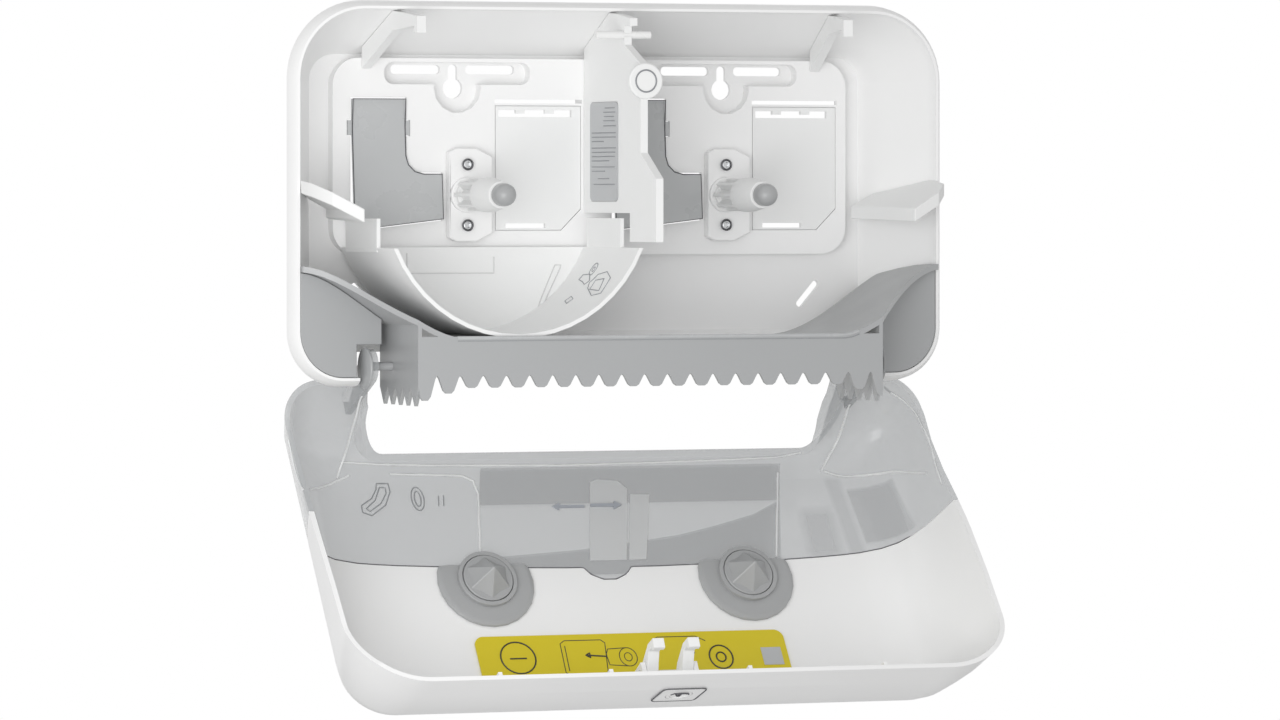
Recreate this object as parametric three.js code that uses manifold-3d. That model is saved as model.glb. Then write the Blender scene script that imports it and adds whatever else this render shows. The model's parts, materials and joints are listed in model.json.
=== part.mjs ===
// A wall dispenser for two toilet rolls side by side, shown with its cover swung down on its bottom hinge.
// Millimetres, X to the right, +Y into the wall, +Z up. The origin lies on the wall face, midway between the
// two roll places and level with their spindles.
import * as THREE from 'three';
import { mergeVertices } from 'three/addons/utils/BufferGeometryUtils.js';
import Module from 'manifold-3d';

const wasm = await Module();
wasm.setup();

// Shared fits and curve fineness
const seat_gap = 0.3;
const run_gap = 0.3;
const cut_overrun = 2;
const corner_steps = 7;
const round_steps = 24;
const small_round_steps = 16;
const full_turn = 2 * Math.PI;
const right_angle = Math.PI / 2;
const sides = [{ name: 'left', sign: -1 }, { name: 'right', sign: 1 }];

// Rear housing: a dish whose walls draw in towards the wall, with a raised panel on its back
const housing = {
  width: 360, top: 99, bottom: -97.3, depth: 54.5,
  top_corner: 40, bottom_corner: 28, least_corner: 8,
  wall: 2.6, back_taper: 24, shoulder_back: 8.5, brow_back: 3.5, brow_inset: 0.8, lip_inset: 3, lip_flat: 1.4,
  shoulder_wall: 5, mouth_top: -69, mouth_back: 14,
};
const half_width = housing.width / 2;
const mid_z = (housing.top + housing.bottom) / 2;

// How far in from the housing's sides its pieces end or stand
const from_side = {
  mouth: 36.5, panel: 37, eye: 42.8, tray: 52.8, scoop_outer: 4, scoop_outer_pull: 28, scoop_inner_pull: 50,
  scoop_inner: 80, scoop_front_pull: 30, cheek: 48.1, notch: 34.8, wing: 34.7, wing_outer: 3, wing_tip: 29,
  wing_brow: 13.5, wing_nose: 5.8, bracket: 55, part: 2, foot_cut: 51.1, place: 108,
};

// Roll places
const roll = { spacing: housing.width - 2 * from_side.place };
const places = sides.map(({ name, sign }) => ({ name, x: (sign * roll.spacing) / 2 }));

const panel = {
  half_width: half_width - from_side.panel, top: 70.5, bottom: -31, corner: 14, proud: 10, skin: 2.2,
  rib_half_width: 6, side_rib_half_width: 2,
};
const pocket = { x: 75, half_width: 40, top: 68.5, bottom: 57, boss_radius: 13, wall: 1.8, corner: 5 };
const keyhole = { z: 55.2, radius: 5.4, neck_width: 5, neck_top: 67.5 };
const pocket_slot = { offset: 20.5, length: 27, height: 4.6, z: 64.8 };
const line_slot = { start: 17.5, end: 66, z: 48.5, height: 2 };
const drain_slot = { x: 124.3, z: -52.2, length: 17, width: 3.7, tilt: 0.855 };

// Cover hinge and lid swing, measured from the seam where the cover meets the housing
const seam = { gap: 0.5, to_hinge: 1, to_foot_cut: 27 };
const cover_back_y = -housing.depth - seam.gap;
const hinge = { y: cover_back_y - seam.to_hinge, z: -87, open_angle: (147 * Math.PI) / 180 };
const hinge_eye = {
  radius: 8.8, inner_x: half_width - from_side.eye, width: 3, reach_y: 42, reach_low: -9, reach_high: 3,
};
const hinge_pin = { radius: 2.2, past_eye: 1.6 };

// Grey tear tray and cheeks
const tray = {
  half_width: half_width - from_side.tray, floor_z: -73, floor: 2.4, front_y: -96, face: 2, lip_rise: 1.6,
  side_face: 2, side_back_y: -38, back_y: -14.4,
};
const comb = {
  pitch: 12.5, first_tooth: 3.9, root_z: -91, tip_z: -97.3, corner_tip_z: -103.5,
  corner_next_z: -100, side_pitch: 11.6, side_root_z: -97.5, side_tip_z: -106.4,
};

// A tooth's outline, in shares of half the pitch and of its whole depth
const tooth_shares = [
  [-1, 0], [-0.84, 0.14], [-0.46, 0.84], [-0.22, 1], [0.22, 1], [0.46, 0.84], [0.84, 0.14],
];
const scoop = {
  outer_x: half_width - from_side.scoop_outer, outer_z: -36,
  outer_pull_x: half_width - from_side.scoop_outer_pull, outer_pull_z: -38,
  inner_pull_x: half_width - from_side.scoop_inner_pull, inner_pull_z: -70,
  inner_x: half_width - from_side.scoop_inner, skin: 3, front_outer_y: -57,
  front_pull_x: half_width - from_side.scoop_front_pull, front_pull_y: -64,
};
const cheek = {
  front_y: seat_gap - housing.depth, skin: 2.4, inner_x: half_width - from_side.cheek,
  notch_x: half_width - from_side.notch, notch_top_z: -76,
};

// White guides
const wing = {
  inner_x: half_width - from_side.wing, inner_z: -6.2, outer_x: half_width - from_side.wing_outer,
  outer_z: 11.7, fall_share: 0.0614, height: 6.8, skin: 2.4, lip: 2.2, back_y: -12,
  tip_x: half_width - from_side.wing_tip, tip_y: -83, brow_x: half_width - from_side.wing_brow,
  brow_y: -79, nose_x: half_width - from_side.wing_nose, nose_y: -68,
};
const bracket = {
  x: half_width - from_side.bracket, width: 5, back_y: -10.3, tip_y: -74, tip_top: 90.6, tip_bottom: 82,
  hook: 3.4, bar: 5, foot: 11, lean: 0.12,
};
const divider = {
  x: -3, width: 4, back_y: -10.3, foot_z: -9.3, shoe_front_y: -76, shoe_bottom_z: 86.5, neck_y: -68,
  neck_z: 77, face_y: -90.5, face_top_z: 67, face_low_z: 21.5, finger_y: -112, finger_top_z: 8.2,
  finger_z: -24, finger_back_y: -75.7, top_front_z: 90.4,
};
const info = { back_y: -20, width: 39, top_z: 47.8, height: 51, corner: 3, skin: 0.8 };
const badge = { z: 58, radius: 9.2, ring_radius: 5.6, ring_width: 0.7, ring_depth: 0.5, length: 6 };

// Roll spindles on their seats
const seat = { left: -9.4, right: 14.3, end_radius: 24.6, skin: 5.4, boss_radius: 9.2, boss: 2.6 };
const screw = {
  offset: 15.7, head_radius: 3, head: 2, shank_radius: 1.6, length: 9, drive_radius: 1.5, drive: 1.2,
};
const screw_boss = { radius: 4, back_y: -1.4 };
const axle = { radius: 2, back_y: -3, tip_y: -73 };
const spindle = {
  back_y: -18.7, fin_front_y: -44, collar_mid_y: -52, collar_front_y: -67.5, core_radius: 4.6,
  fin_radius: 8.4, fin_width: 1.8, fins: 8, collar_radius: 8.9, nose_radius: 6.9, flange: 2,
};
const cap = { front_y: -78, radius: 5.8, skirt: 5 };

// Rocking roll flaps
const flap = {
  left: -60.5, arm_right: -12.2, top: 49.4, leg_right: -31.8, bend: 9.5, arm_top: 10.7, arm_bottom: -12.4,
  heel_bottom: -18, pivot_z: 34.5, pivot_y: -9.2, skin: 2.2, lean: (5 * Math.PI) / 180, pivot_radius: 1.1,
  stub: 2.6, stub_half_height: 3.85, clearance: 0.9,
};

// Blanking plates beside each spindle
const blank = {
  left: 18, right: 65, top: 46, bottom: -18.2, chamfer: 11, skin: 1.2, slot_top: 44, slot_height: 3.6,
  slot_inset: 1.5, slot_end: 60, notch: 5, notch_depth: 1.8, notch_shares: [0.7, 0.3], low_slot: 2.4,
  low_slot_left: 23.5, low_slot_right: 45.5, low_slot_rise: 1,
};

// Sliding shutter bowl
const shutter = {
  radius: 70.5, wall: 2, rim_z: -27, front_y: -93.6, back_y: -12, back_wall: 2, tab_top: -12, tab_back_y: -19,
  tab_front_y: -67,
};

// Cover: a bowed shell whose lower part is a window with two ears
const cover = {
  depth: 75, bow_inset: 62, wall: 2.2, part_z: -8, part_drop: 8, tongue_x: -3, tongue_radius: 16,
  tongue_rise: 7.5, cut_back_y: cover_back_y - seam.to_foot_cut, cut_lean_share: 0.2, cut_taper_share: 0.15,
  cut_steps: 3, cut_z: -73, cut_corner: 14, flange: 2.3, flange_back_z: -84.6, flange_front_z: -69.7,
  top_share: 0.97, foot_share: 1.06, flare_share: 0.018, flare_height: 45,
};
const part_half_width = half_width - from_side.part;
const cut_half_width = half_width - from_side.foot_cut;

// The cover's side edge: depth as a share of the cover's, height as a share of the housing's top or bottom
const edge_shares = [
  [0, 0.98], [0.013, 0.859], [0.053, 0.747], [0.107, 0.606], [0.16, 0.343], [0.24, 0.04], [0.313, -0.185],
  [0.387, -0.391], [0.44, -0.596], [0.455, -0.802], [0.4, -1.069],
];
const cover_edge = edge_shares.map(([deep, high]) => [
  cover_back_y - deep * cover.depth, high * (high > 0 ? housing.top : -housing.bottom),
]);

// The cover's bow: shares of its depth, and there of how far it is drawn in
const bow_shares = [
  [0, 0], [0.267, 0.042], [0.467, 0.097], [0.667, 0.161], [0.8, 0.234], [0.893, 0.323], [0.953, 0.452],
  [0.987, 0.645], [1, 1],
];
const cover_bow = bow_shares.map(([deep, drawn]) => ({
  y: cover_back_y - deep * cover.depth, inset: drawn * cover.bow_inset,
}));
const cover_rib = { place_shares: [-0.578, -0.25, 0.167, 0.578], width: 2, depth: 5, height: 6, back_y: -57 };
const label = { half_width: 85, bottom: 31.8, top: 64, corner: 5, skin: 0.8 };
const cone_seat = {
  radius: 26, base: 3, ring_radius: 15.9, ring_wall: 2.2, ring: 5.4, flat_z: -9.5, post_radius: 2,
};
const cone = {
  base_radius: 13.3, base: 2.2, star_radius: 12.4, valley_share: 0.8, points: 6, height: 11.5, bore: 5,
};

// Lock in the top of the cover
const lock = {
  x: 0, y: -83.5, half_width: 11.2, half_depth: 9.5, corner: 2, plate: 1.4, barrel_radius: 6.8,
  neck_radius: 6.2, barrel_inner: 4.8, dish_radius: 5.2, dish: 0.6, slot_width: 1.6, slot_length: 7,
  slot: 1.6,
};
const claw = {
  x: -5, pivot_y: -80, pivot_z: 82, pivot_radius: 2.2, reach: 20, spread: 9.5, width: 6, stub: 3, lug: 2.5,
  lug_reach: 4.6,
};

// The claw's side outline about its pivot, in shares of its reach
const claw_shares = [
  [-0.2, 0.12], [-0.3, -0.075], [0, -0.325], [0.6, -0.55], [0.975, -0.51], [0.95, -0.25], [0.825, -0.25],
  [0.775, -0.36], [0.55, -0.36], [0.35, -0.15], [0.15, 0.12],
];
const claw_outline = claw_shares.map(([along, up]) => [
  claw.pivot_y + along * claw.reach, claw.pivot_z + up * claw.reach,
]);
const keeper = { y: -66, z: 82, radius: 2, half_length: 15 };

const finishes = {
  white: new THREE.MeshStandardMaterial({ color: 0xf3f4f4, roughness: 0.42, metalness: 0 }),
  warm_white: new THREE.MeshStandardMaterial({ color: 0xebeceb, roughness: 0.5, metalness: 0 }),
  tray_grey: new THREE.MeshStandardMaterial({ color: 0xa9abac, roughness: 0.45, metalness: 0 }),
  cap_grey: new THREE.MeshStandardMaterial({ color: 0x8f9191, roughness: 0.4, metalness: 0 }),
  smoke: new THREE.MeshStandardMaterial({
    color: 0xb4b8ba, roughness: 0.15, metalness: 0, transparent: true, opacity: 0.55,
  }),
  steel: new THREE.MeshStandardMaterial({ color: 0x9a9c9e, roughness: 0.3, metalness: 1 }),
  mustard: new THREE.MeshStandardMaterial({ color: 0xb6a52c, roughness: 0.6, metalness: 0 }),
};

// Solids

function solid(geometry) {
  const bare = new THREE.BufferGeometry();
  bare.setAttribute('position', geometry.getAttribute('position').clone());
  if (geometry.index) bare.setIndex(geometry.index.clone());
  const merged = mergeVertices(bare, 1e-4);
  const places_of = merged.getAttribute('position');
  const faces = [];
  for (let i = 0; i < merged.index.count; i += 3) {
    const [a, b, c] = [0, 1, 2].map((k) => merged.index.getX(i + k));
    if (a !== b && b !== c && c !== a) faces.push(a, b, c);
  }
  const build = (triangles) => new wasm.Manifold(new wasm.Mesh({
    numProp: 3, vertProperties: new Float32Array(places_of.array), triVerts: new Uint32Array(triangles),
  }));
  const body = build(faces);
  if (body.volume() > 0) return body;
  const turned = faces.map((_, i) => faces[i - (i % 3) + [0, 2, 1][i % 3]]);
  return build(turned);
}

const join = (first, ...rest) => rest.reduce((whole, next) => whole.add(next), first);
const cut = (first, ...rest) => rest.reduce((whole, next) => whole.subtract(next), first);
const common = (first, ...rest) => rest.reduce((whole, next) => whole.intersect(next), first);

// Two places in rising order
const span = (a, b) => [Math.min(a, b), Math.max(a, b)];

function mesh_of(name, body, finish) {
  const { numProp, vertProperties, triVerts } = body.getMesh();
  const geometry = new THREE.BufferGeometry();
  const points = new Float32Array((vertProperties.length / numProp) * 3);
  for (let i = 0; i < points.length / 3; i += 1) {
    for (let k = 0; k < 3; k += 1) points[3 * i + k] = vertProperties[numProp * i + k];
  }
  geometry.setAttribute('position', new THREE.BufferAttribute(points, 3));
  geometry.setIndex(new THREE.BufferAttribute(new Uint32Array(triVerts), 1));
  geometry.computeVertexNormals();
  const mesh = new THREE.Mesh(geometry, finish);
  mesh.name = name;
  return mesh;
}

function extruded(shape, depth, steps = 1) {
  return new THREE.ExtrudeGeometry(shape, { depth, steps, bevelEnabled: false, curveSegments: corner_steps });
}

// A front-view outline in X and Z, given depth from its back plane to its front plane
function front_slab(shape, back_y, front_y) {
  const geometry = extruded(shape, back_y - front_y);
  geometry.rotateX(right_angle);
  geometry.translate(0, back_y, 0);
  return solid(geometry);
}

// A side-view outline in Y and Z, given width along X
function side_slab(shape, x_low, x_high) {
  const geometry = extruded(shape, x_high - x_low);
  const turn = new THREE.Matrix4().makeBasis(
    new THREE.Vector3(0, 1, 0), new THREE.Vector3(0, 0, 1), new THREE.Vector3(1, 0, 0),
  );
  geometry.applyMatrix4(turn);
  geometry.translate(x_low, 0, 0);
  return solid(geometry);
}

// A plan-view outline in X and Y, given height along Z
function plan_slab(shape, z_low, z_high) {
  const geometry = extruded(shape, z_high - z_low);
  geometry.translate(0, 0, z_low);
  return solid(geometry);
}

function block(x_low, x_high, y_low, y_high, z_low, z_high) {
  const geometry = new THREE.BoxGeometry(x_high - x_low, y_high - y_low, z_high - z_low);
  geometry.translate((x_low + x_high) / 2, (y_low + y_high) / 2, (z_low + z_high) / 2);
  return solid(geometry);
}

// A block between two distances from the middle plane, on one side of it
function side_block(sign, near_x, far_x, y_low, y_high, z_low, z_high) {
  return block(...span(sign * near_x, sign * far_x), y_low, y_high, z_low, z_high);
}

function rod(axis, radius, start, end, centre, steps = small_round_steps) {
  const geometry = new THREE.CylinderGeometry(radius, radius, end - start, steps);
  geometry.translate(0, (start + end) / 2, 0);
  if (axis === 'x') geometry.rotateZ(-right_angle);
  if (axis === 'z') geometry.rotateX(right_angle);
  geometry.translate(...centre);
  return solid(geometry);
}

// A turned piece about an axis along Y; the profile is a list of [radius, y]
function turned_piece(profile, x, z, steps = round_steps) {
  const points = profile.map(([radius, y]) => new THREE.Vector2(radius, y));
  const geometry = new THREE.LatheGeometry(points, steps);
  geometry.translate(x, 0, z);
  return solid(geometry);
}

function outline(points) {
  return new THREE.Shape(points.map(([a, b]) => new THREE.Vector2(a, b)));
}

function rounded_box(left, right, bottom, top, corner, top_corner = corner) {
  const shape = new THREE.Shape();
  shape.moveTo(left + corner, bottom);
  shape.lineTo(right - corner, bottom);
  shape.absarc(right - corner, bottom + corner, corner, -right_angle, 0, false);
  shape.lineTo(right, top - top_corner);
  shape.absarc(right - top_corner, top - top_corner, top_corner, 0, right_angle, false);
  shape.lineTo(left + top_corner, top);
  shape.absarc(left + top_corner, top - top_corner, top_corner, right_angle, 2 * right_angle, false);
  shape.lineTo(left, bottom + corner);
  shape.absarc(left + corner, bottom + corner, corner, 2 * right_angle, 3 * right_angle, false);
  shape.closePath();
  return shape;
}

function disc(x, z, radius) {
  const shape = new THREE.Shape();
  shape.absarc(x, z, radius, 0, full_turn, false);
  return shape;
}

// Housing and cover share one front outline. This carries a point on it inwards by an inset.
function drawn_in(x, z, inset) {
  const corner = z > mid_z ? housing.top_corner : housing.bottom_corner;
  const low_core = housing.bottom + housing.bottom_corner;
  const high_core = housing.top - housing.top_corner;
  const core_x = Math.min(Math.max(x, corner - half_width), half_width - corner);
  const core_z = Math.min(Math.max(z, low_core), high_core);
  const radius = Math.max(corner - inset, housing.least_corner);
  const shift = inset - (corner - radius);
  const squeeze_x = 1 - shift / (half_width - corner);
  const reach_z = Math.abs((z > mid_z ? high_core : low_core) - mid_z);
  const squeeze_z = 1 - shift / reach_z;
  return [
    core_x * squeeze_x + ((x - core_x) / corner) * radius,
    mid_z + (core_z - mid_z) * squeeze_z + ((z - core_z) / corner) * radius,
  ];
}

// The cover's own departures from the shared outline: a lower top, a lower foot and sides that spread
// towards the foot
function cover_swell(x, z) {
  const low = Math.min(Math.max(-z / cover.flare_height, 0), 1);
  const height_share = z > 0 ? cover.top_share : 1 + (cover.foot_share - 1) * low;
  return [x * (1 + cover.flare_share * low), z * height_share];
}

// A dish through stations along Y, each with its own inset from the shared outline
function dish(stations, swell = (x, z) => [x, z]) {
  const shape = rounded_box(
    -half_width, half_width, housing.bottom, housing.top, housing.bottom_corner, housing.top_corner,
  );
  const count = stations.length - 1;
  const geometry = extruded(shape, count, count);
  const position = geometry.getAttribute('position');
  for (let i = 0; i < position.count; i += 1) {
    const station = stations[Math.round(position.getZ(i))];
    const [x, z] = swell(...drawn_in(position.getX(i), position.getY(i), station.inset));
    position.setXYZ(i, x, station.y, z);
  }
  return solid(geometry);
}

// The hollow of the housing, drawn in by an extra clearance and run on past the front
function housing_hollow(clearance, front_y) {
  const shoulder_y = housing.shoulder_back - housing.depth;
  const lip = housing.lip_inset + housing.lip_flat + clearance;
  return dish([
    { y: -housing.wall - clearance, inset: housing.back_taper + housing.wall + clearance },
    { y: shoulder_y, inset: housing.shoulder_wall + clearance },
    { y: -housing.depth, inset: lip },
    { y: front_y, inset: lip },
  ]);
}

// How far the housing's inner wall is drawn in at a depth behind its shoulder
function hollow_inset(y) {
  const shoulder_y = housing.shoulder_back - housing.depth;
  const deep = housing.back_taper + housing.wall;
  const share = (y - shoulder_y) / (-housing.wall - shoulder_y);
  return housing.shoulder_wall + Math.max(share, 0) * (deep - housing.shoulder_wall);
}

// Flap outline in a roll place's own X, grown by a margin
function flap_outline(x, margin) {
  const left = x + flap.left - margin;
  const leg = x + flap.leg_right + margin;
  const right = x + flap.arm_right + margin;
  const bend = flap.bend - margin;
  const shape = new THREE.Shape();
  shape.moveTo(left, flap.top + margin);
  shape.lineTo(left, flap.heel_bottom - margin);
  shape.lineTo(right, flap.arm_bottom - margin);
  shape.lineTo(right, flap.arm_top + margin);
  shape.lineTo(leg + bend, flap.arm_top + margin);
  shape.absarc(leg + bend, flap.arm_top + margin + bend, bend, -right_angle, -2 * right_angle, true);
  shape.lineTo(leg, flap.top + margin);
  shape.closePath();
  return shape;
}

function blank_outline(x, margin) {
  const [left, right] = [x + blank.left - margin, x + blank.right + margin];
  const [bottom, top] = [blank.bottom - margin, blank.top + margin];
  return outline([
    [left, bottom], [right - blank.chamfer, bottom], [right, bottom + blank.chamfer], [right, top],
    [left, top],
  ]);
}

function slot_outline(x, z, length, height) {
  return rounded_box(x - length / 2, x + length / 2, z - height / 2, z + height / 2, height / 2 - run_gap);
}

function keyhole_pocket(x, floor_y) {
  const skin_back = -panel.proud + panel.skin;
  const half = pocket.half_width + pocket.wall;
  const tub = join(
    front_slab(
      rounded_box(x - half, x + half, pocket.bottom - pocket.wall, pocket.top + pocket.wall, pocket.corner),
      0, skin_back - seat_gap,
    ),
    front_slab(disc(x, keyhole.z, pocket.boss_radius + pocket.wall), 0, skin_back - seat_gap),
  );
  const recess = join(
    front_slab(
      rounded_box(x - pocket.half_width, x + pocket.half_width, pocket.bottom, pocket.top, pocket.corner),
      floor_y, -panel.proud - cut_overrun,
    ),
    front_slab(disc(x, keyhole.z, pocket.boss_radius), floor_y, -panel.proud - cut_overrun),
  );
  const holes = join(
    front_slab(disc(x, keyhole.z, keyhole.radius), cut_overrun, -panel.proud),
    front_slab(
      rounded_box(
        x - keyhole.neck_width / 2, x + keyhole.neck_width / 2, keyhole.z, keyhole.neck_top,
        keyhole.neck_width / 2 - run_gap,
      ), cut_overrun, -panel.proud,
    ),
    ...sides.map(({ sign }) => front_slab(
      slot_outline(x + sign * pocket_slot.offset, pocket_slot.z, pocket_slot.length, pocket_slot.height),
      cut_overrun, -panel.proud,
    )),
  );
  return { tub, recess, holes };
}

function rear_housing() {
  const shoulder_y = housing.shoulder_back - housing.depth;
  const outer = dish([
    { y: 0, inset: housing.back_taper },
    { y: shoulder_y, inset: 0 },
    { y: -housing.depth + housing.brow_back, inset: housing.brow_inset },
    { y: -housing.depth, inset: housing.lip_inset },
  ]);
  const panel_box = (inset, back_y, front_y) => front_slab(
    rounded_box(
      -panel.half_width + inset, panel.half_width - inset, panel.bottom + inset, panel.top - inset,
      panel.corner - inset,
    ), back_y, front_y,
  );
  const skin_back = -panel.proud + panel.skin;
  const rib_widths = [[-panel.half_width / 2, panel.side_rib_half_width], [0, panel.rib_half_width],
    [panel.half_width / 2, panel.side_rib_half_width]];
  const ribs = rib_widths.map(([x, half]) => block(
    x - half, x + half, skin_back - seat_gap, 0, panel.bottom + panel.skin / 2, panel.top - panel.skin / 2,
  ));
  const pockets = sides.map(({ sign }) => keyhole_pocket(sign * pocket.x, -housing.wall));
  const boss_heights = [-screw.offset, 0, screw.offset];
  const bosses = places.flatMap(({ x }) => boss_heights.map(
    (z) => rod('y', screw_boss.radius, skin_back - seat_gap, screw_boss.back_y, [x, 0, z]),
  ));
  let body = cut(outer, housing_hollow(0, -housing.depth - cut_overrun));
  body = join(body, panel_box(0, 0, -panel.proud));
  body = cut(body, panel_box(panel.skin, cut_overrun, skin_back));
  body = join(body, ...ribs, ...pockets.map(({ tub }) => tub), ...bosses);
  body = cut(body, ...pockets.flatMap(({ recess, holes }) => [recess, holes]));
  const through = (shape) => front_slab(shape, skin_back + cut_overrun, -panel.proud - cut_overrun);
  for (const { x } of places) {
    const stub_reach = flap.stub + run_gap;
    const stub_half = flap.stub_half_height + run_gap;
    const line_half = line_slot.height / 2;
    body = cut(
      body,
      ...sides.map(({ sign }) => rod(
        'y', screw.shank_radius + run_gap / 2, -panel.proud - cut_overrun, screw_boss.back_y - run_gap,
        [x, 0, sign * screw.offset],
      )),
      rod('y', axle.radius + run_gap / 2, -panel.proud - cut_overrun, axle.back_y + run_gap, [x, 0, 0]),
      through(flap_outline(x, flap.clearance)),
      through(rounded_box(
        x + flap.left - stub_reach, x + flap.leg_right + stub_reach, flap.pivot_z - stub_half,
        flap.pivot_z + stub_half, run_gap,
      )),
      through(rounded_box(
        x + line_slot.start, x + line_slot.end, line_slot.z - line_half, line_slot.z + line_half, run_gap,
      )),
      front_slab(
        blank_outline(x, seat_gap), -panel.proud + blank.skin + seat_gap / 2, -panel.proud - cut_overrun,
      ),
      ...blank_slots(x).map((shape) => through(shape)),
    );
  }
  for (const { sign } of sides) {
    const slot = extruded(
      slot_outline(0, 0, drain_slot.length, drain_slot.width), 2 * cut_overrun + housing.wall,
    );
    slot.rotateZ(sign * drain_slot.tilt);
    slot.rotateX(right_angle);
    slot.translate(sign * drain_slot.x, cut_overrun, drain_slot.z);
    body = cut(body, solid(slot));
  }
  const mouth_half_width = half_width - from_side.mouth;
  const mouth = block(
    -mouth_half_width, mouth_half_width, -housing.depth - cut_overrun, -housing.mouth_back,
    housing.bottom - cut_overrun, housing.mouth_top,
  );
  return cut(body, mouth);
}

function blank_slots(x) {
  const top = blank.slot_top;
  const low = blank.bottom + blank.low_slot_rise;
  const left = x + blank.left + blank.slot_inset;
  const right = x + blank.slot_end;
  const notch_at = (share) => left + (right - left) * share;
  const foot = top - blank.slot_height;
  const high_slot = [[left, foot], [right, foot], [right, top], [left, top]];
  for (const share of blank.notch_shares) {
    const middle = notch_at(share);
    const at = high_slot.length - 1;
    high_slot.splice(
      at, 0, [middle + blank.notch / 2, top], [middle + blank.notch / 2, top - blank.notch_depth],
      [middle - blank.notch / 2, top - blank.notch_depth], [middle - blank.notch / 2, top],
    );
  }
  return [
    outline(high_slot),
    rounded_box(x + blank.low_slot_left, x + blank.low_slot_right, low, low + blank.low_slot, run_gap),
  ];
}

function blanking_plate(x) {
  const front = -panel.proud - seat_gap / 2;
  const plate = front_slab(blank_outline(x, 0), front + blank.skin, front);
  return cut(plate, ...blank_slots(x).map((shape) => front_slab(shape, 0, -panel.proud - cut_overrun)));
}

// The curve that the tray's ends follow up to the housing's sides, moved by a height
function scoop_curve(sign, shift) {
  const curve = new THREE.CubicBezierCurve(
    new THREE.Vector2(sign * scoop.outer_x, scoop.outer_z + shift),
    new THREE.Vector2(sign * scoop.outer_pull_x, scoop.outer_pull_z + shift),
    new THREE.Vector2(sign * scoop.inner_pull_x, scoop.inner_pull_z + shift),
    new THREE.Vector2(sign * scoop.inner_x, tray.floor_z + shift),
  );
  return curve.getPoints(2 * corner_steps);
}

// A band along the scoop between two heights above its upper surface
function scoop_band(sign, low_shift, high_shift, back_y, front_y) {
  const points = [...scoop_curve(sign, high_shift), ...scoop_curve(sign, low_shift).reverse()];
  return front_slab(new THREE.Shape(sign > 0 ? points.reverse() : points), back_y, front_y);
}

function comb_outline() {
  const half = tray.half_width;
  const count = Math.ceil((2 * half - comb.first_tooth) / comb.pitch);
  const points = [[-half, tray.floor_z + tray.lip_rise]];
  for (let i = 0; i < count; i += 1) {
    const edge = Math.min(i, count - 1 - i);
    const tip = [comb.corner_tip_z, comb.corner_next_z][edge] ?? comb.tip_z;
    const middle = -half + comb.first_tooth + i * comb.pitch;
    points.push(...tooth_shares.map(([along, down]) => [
      Math.min(Math.max(middle + along * (comb.pitch / 2), -half), half),
      comb.root_z + down * (tip - comb.root_z),
    ]));
  }
  points.push([half, tray.floor_z + tray.lip_rise]);
  return outline(points);
}

function side_comb_outline() {
  const count = Math.floor((tray.side_back_y - tray.front_y) / comb.side_pitch);
  const points = [[tray.side_back_y, tray.floor_z], [tray.front_y, tray.floor_z]];
  for (let i = 0; i < count; i += 1) {
    const start = tray.front_y + i * comb.side_pitch;
    const middle = start + comb.side_pitch / 2;
    points.push([start, comb.side_root_z], [middle, comb.side_tip_z]);
  }
  const end = tray.front_y + count * comb.side_pitch;
  points.push([end, comb.side_root_z], [tray.side_back_y, comb.side_root_z]);
  return outline(points.reverse());
}

// Plan of the tray's front edge, straight at the comb and running back to the housing's sides
function tray_plan() {
  const shape = new THREE.Shape();
  shape.moveTo(-half_width, 0);
  shape.lineTo(-half_width, scoop.front_outer_y);
  shape.quadraticCurveTo(-scoop.front_pull_x, scoop.front_pull_y, -tray.half_width, tray.front_y);
  shape.lineTo(tray.half_width, tray.front_y);
  shape.quadraticCurveTo(scoop.front_pull_x, scoop.front_pull_y, half_width, scoop.front_outer_y);
  shape.lineTo(half_width, 0);
  shape.closePath();
  return shape;
}

function tear_tray() {
  const floor = block(
    -scoop.inner_x - seat_gap, scoop.inner_x + seat_gap, tray.front_y + tray.face / 2, tray.back_y,
    tray.floor_z - tray.floor, tray.floor_z,
  );
  const scoops = sides.map(({ sign }) => scoop_band(sign, -scoop.skin, 0, 0, tray.front_y));
  const front = front_slab(comb_outline(), tray.front_y + tray.face, tray.front_y);
  const inner = tray.half_width - tray.side_face;
  const flanks = sides.map(({ sign }) => side_slab(
    side_comb_outline(), ...span(sign * inner, sign * tray.half_width),
  ));
  const flank_necks = sides.map(({ sign }) => side_block(
    sign, inner, tray.half_width, tray.front_y, tray.side_back_y, tray.floor_z - tray.floor,
    mid_scoop_z(tray.half_width),
  ));
  const plan = plan_slab(tray_plan(), housing.bottom, 0);
  const skin = common(join(...scoops), plan, housing_hollow(seat_gap, tray.front_y - cut_overrun));
  const behind = block(-half_width, half_width, tray.back_y, cut_overrun, housing.bottom, 0);
  const body = join(cut(join(skin, floor), behind), front, ...flanks, ...flank_necks);
  return cut(body, ...sides.map(({ sign }) => pin_of_hinge(sign, seat_gap / 2, cut_overrun)));
}

// Height of the scoop's upper surface at a distance from the middle
function mid_scoop_z(x) {
  const points = scoop_curve(1, 0);
  const next = points.findIndex((point) => point.x < x);
  const [a, b] = [points[next - 1], points[next]];
  return b.y + ((x - b.x) / (a.x - b.x)) * (a.y - b.y) - scoop.skin / 2;
}

function cheek_plate(sign) {
  const blank_plate = side_block(
    sign, cheek.inner_x, half_width, cheek.front_y, cheek.front_y + cheek.skin, housing.bottom, scoop.outer_z,
  );
  const above = scoop_band(sign, -scoop.skin - seat_gap, housing.top, 0, -housing.depth - cut_overrun);
  const notch = side_block(
    sign, cheek.inner_x - cut_overrun, cheek.notch_x, cheek.front_y - cut_overrun, cut_overrun,
    housing.bottom - cut_overrun, cheek.notch_top_z,
  );
  return cut(common(blank_plate, housing_hollow(seat_gap, -housing.depth)), above, notch);
}

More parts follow.
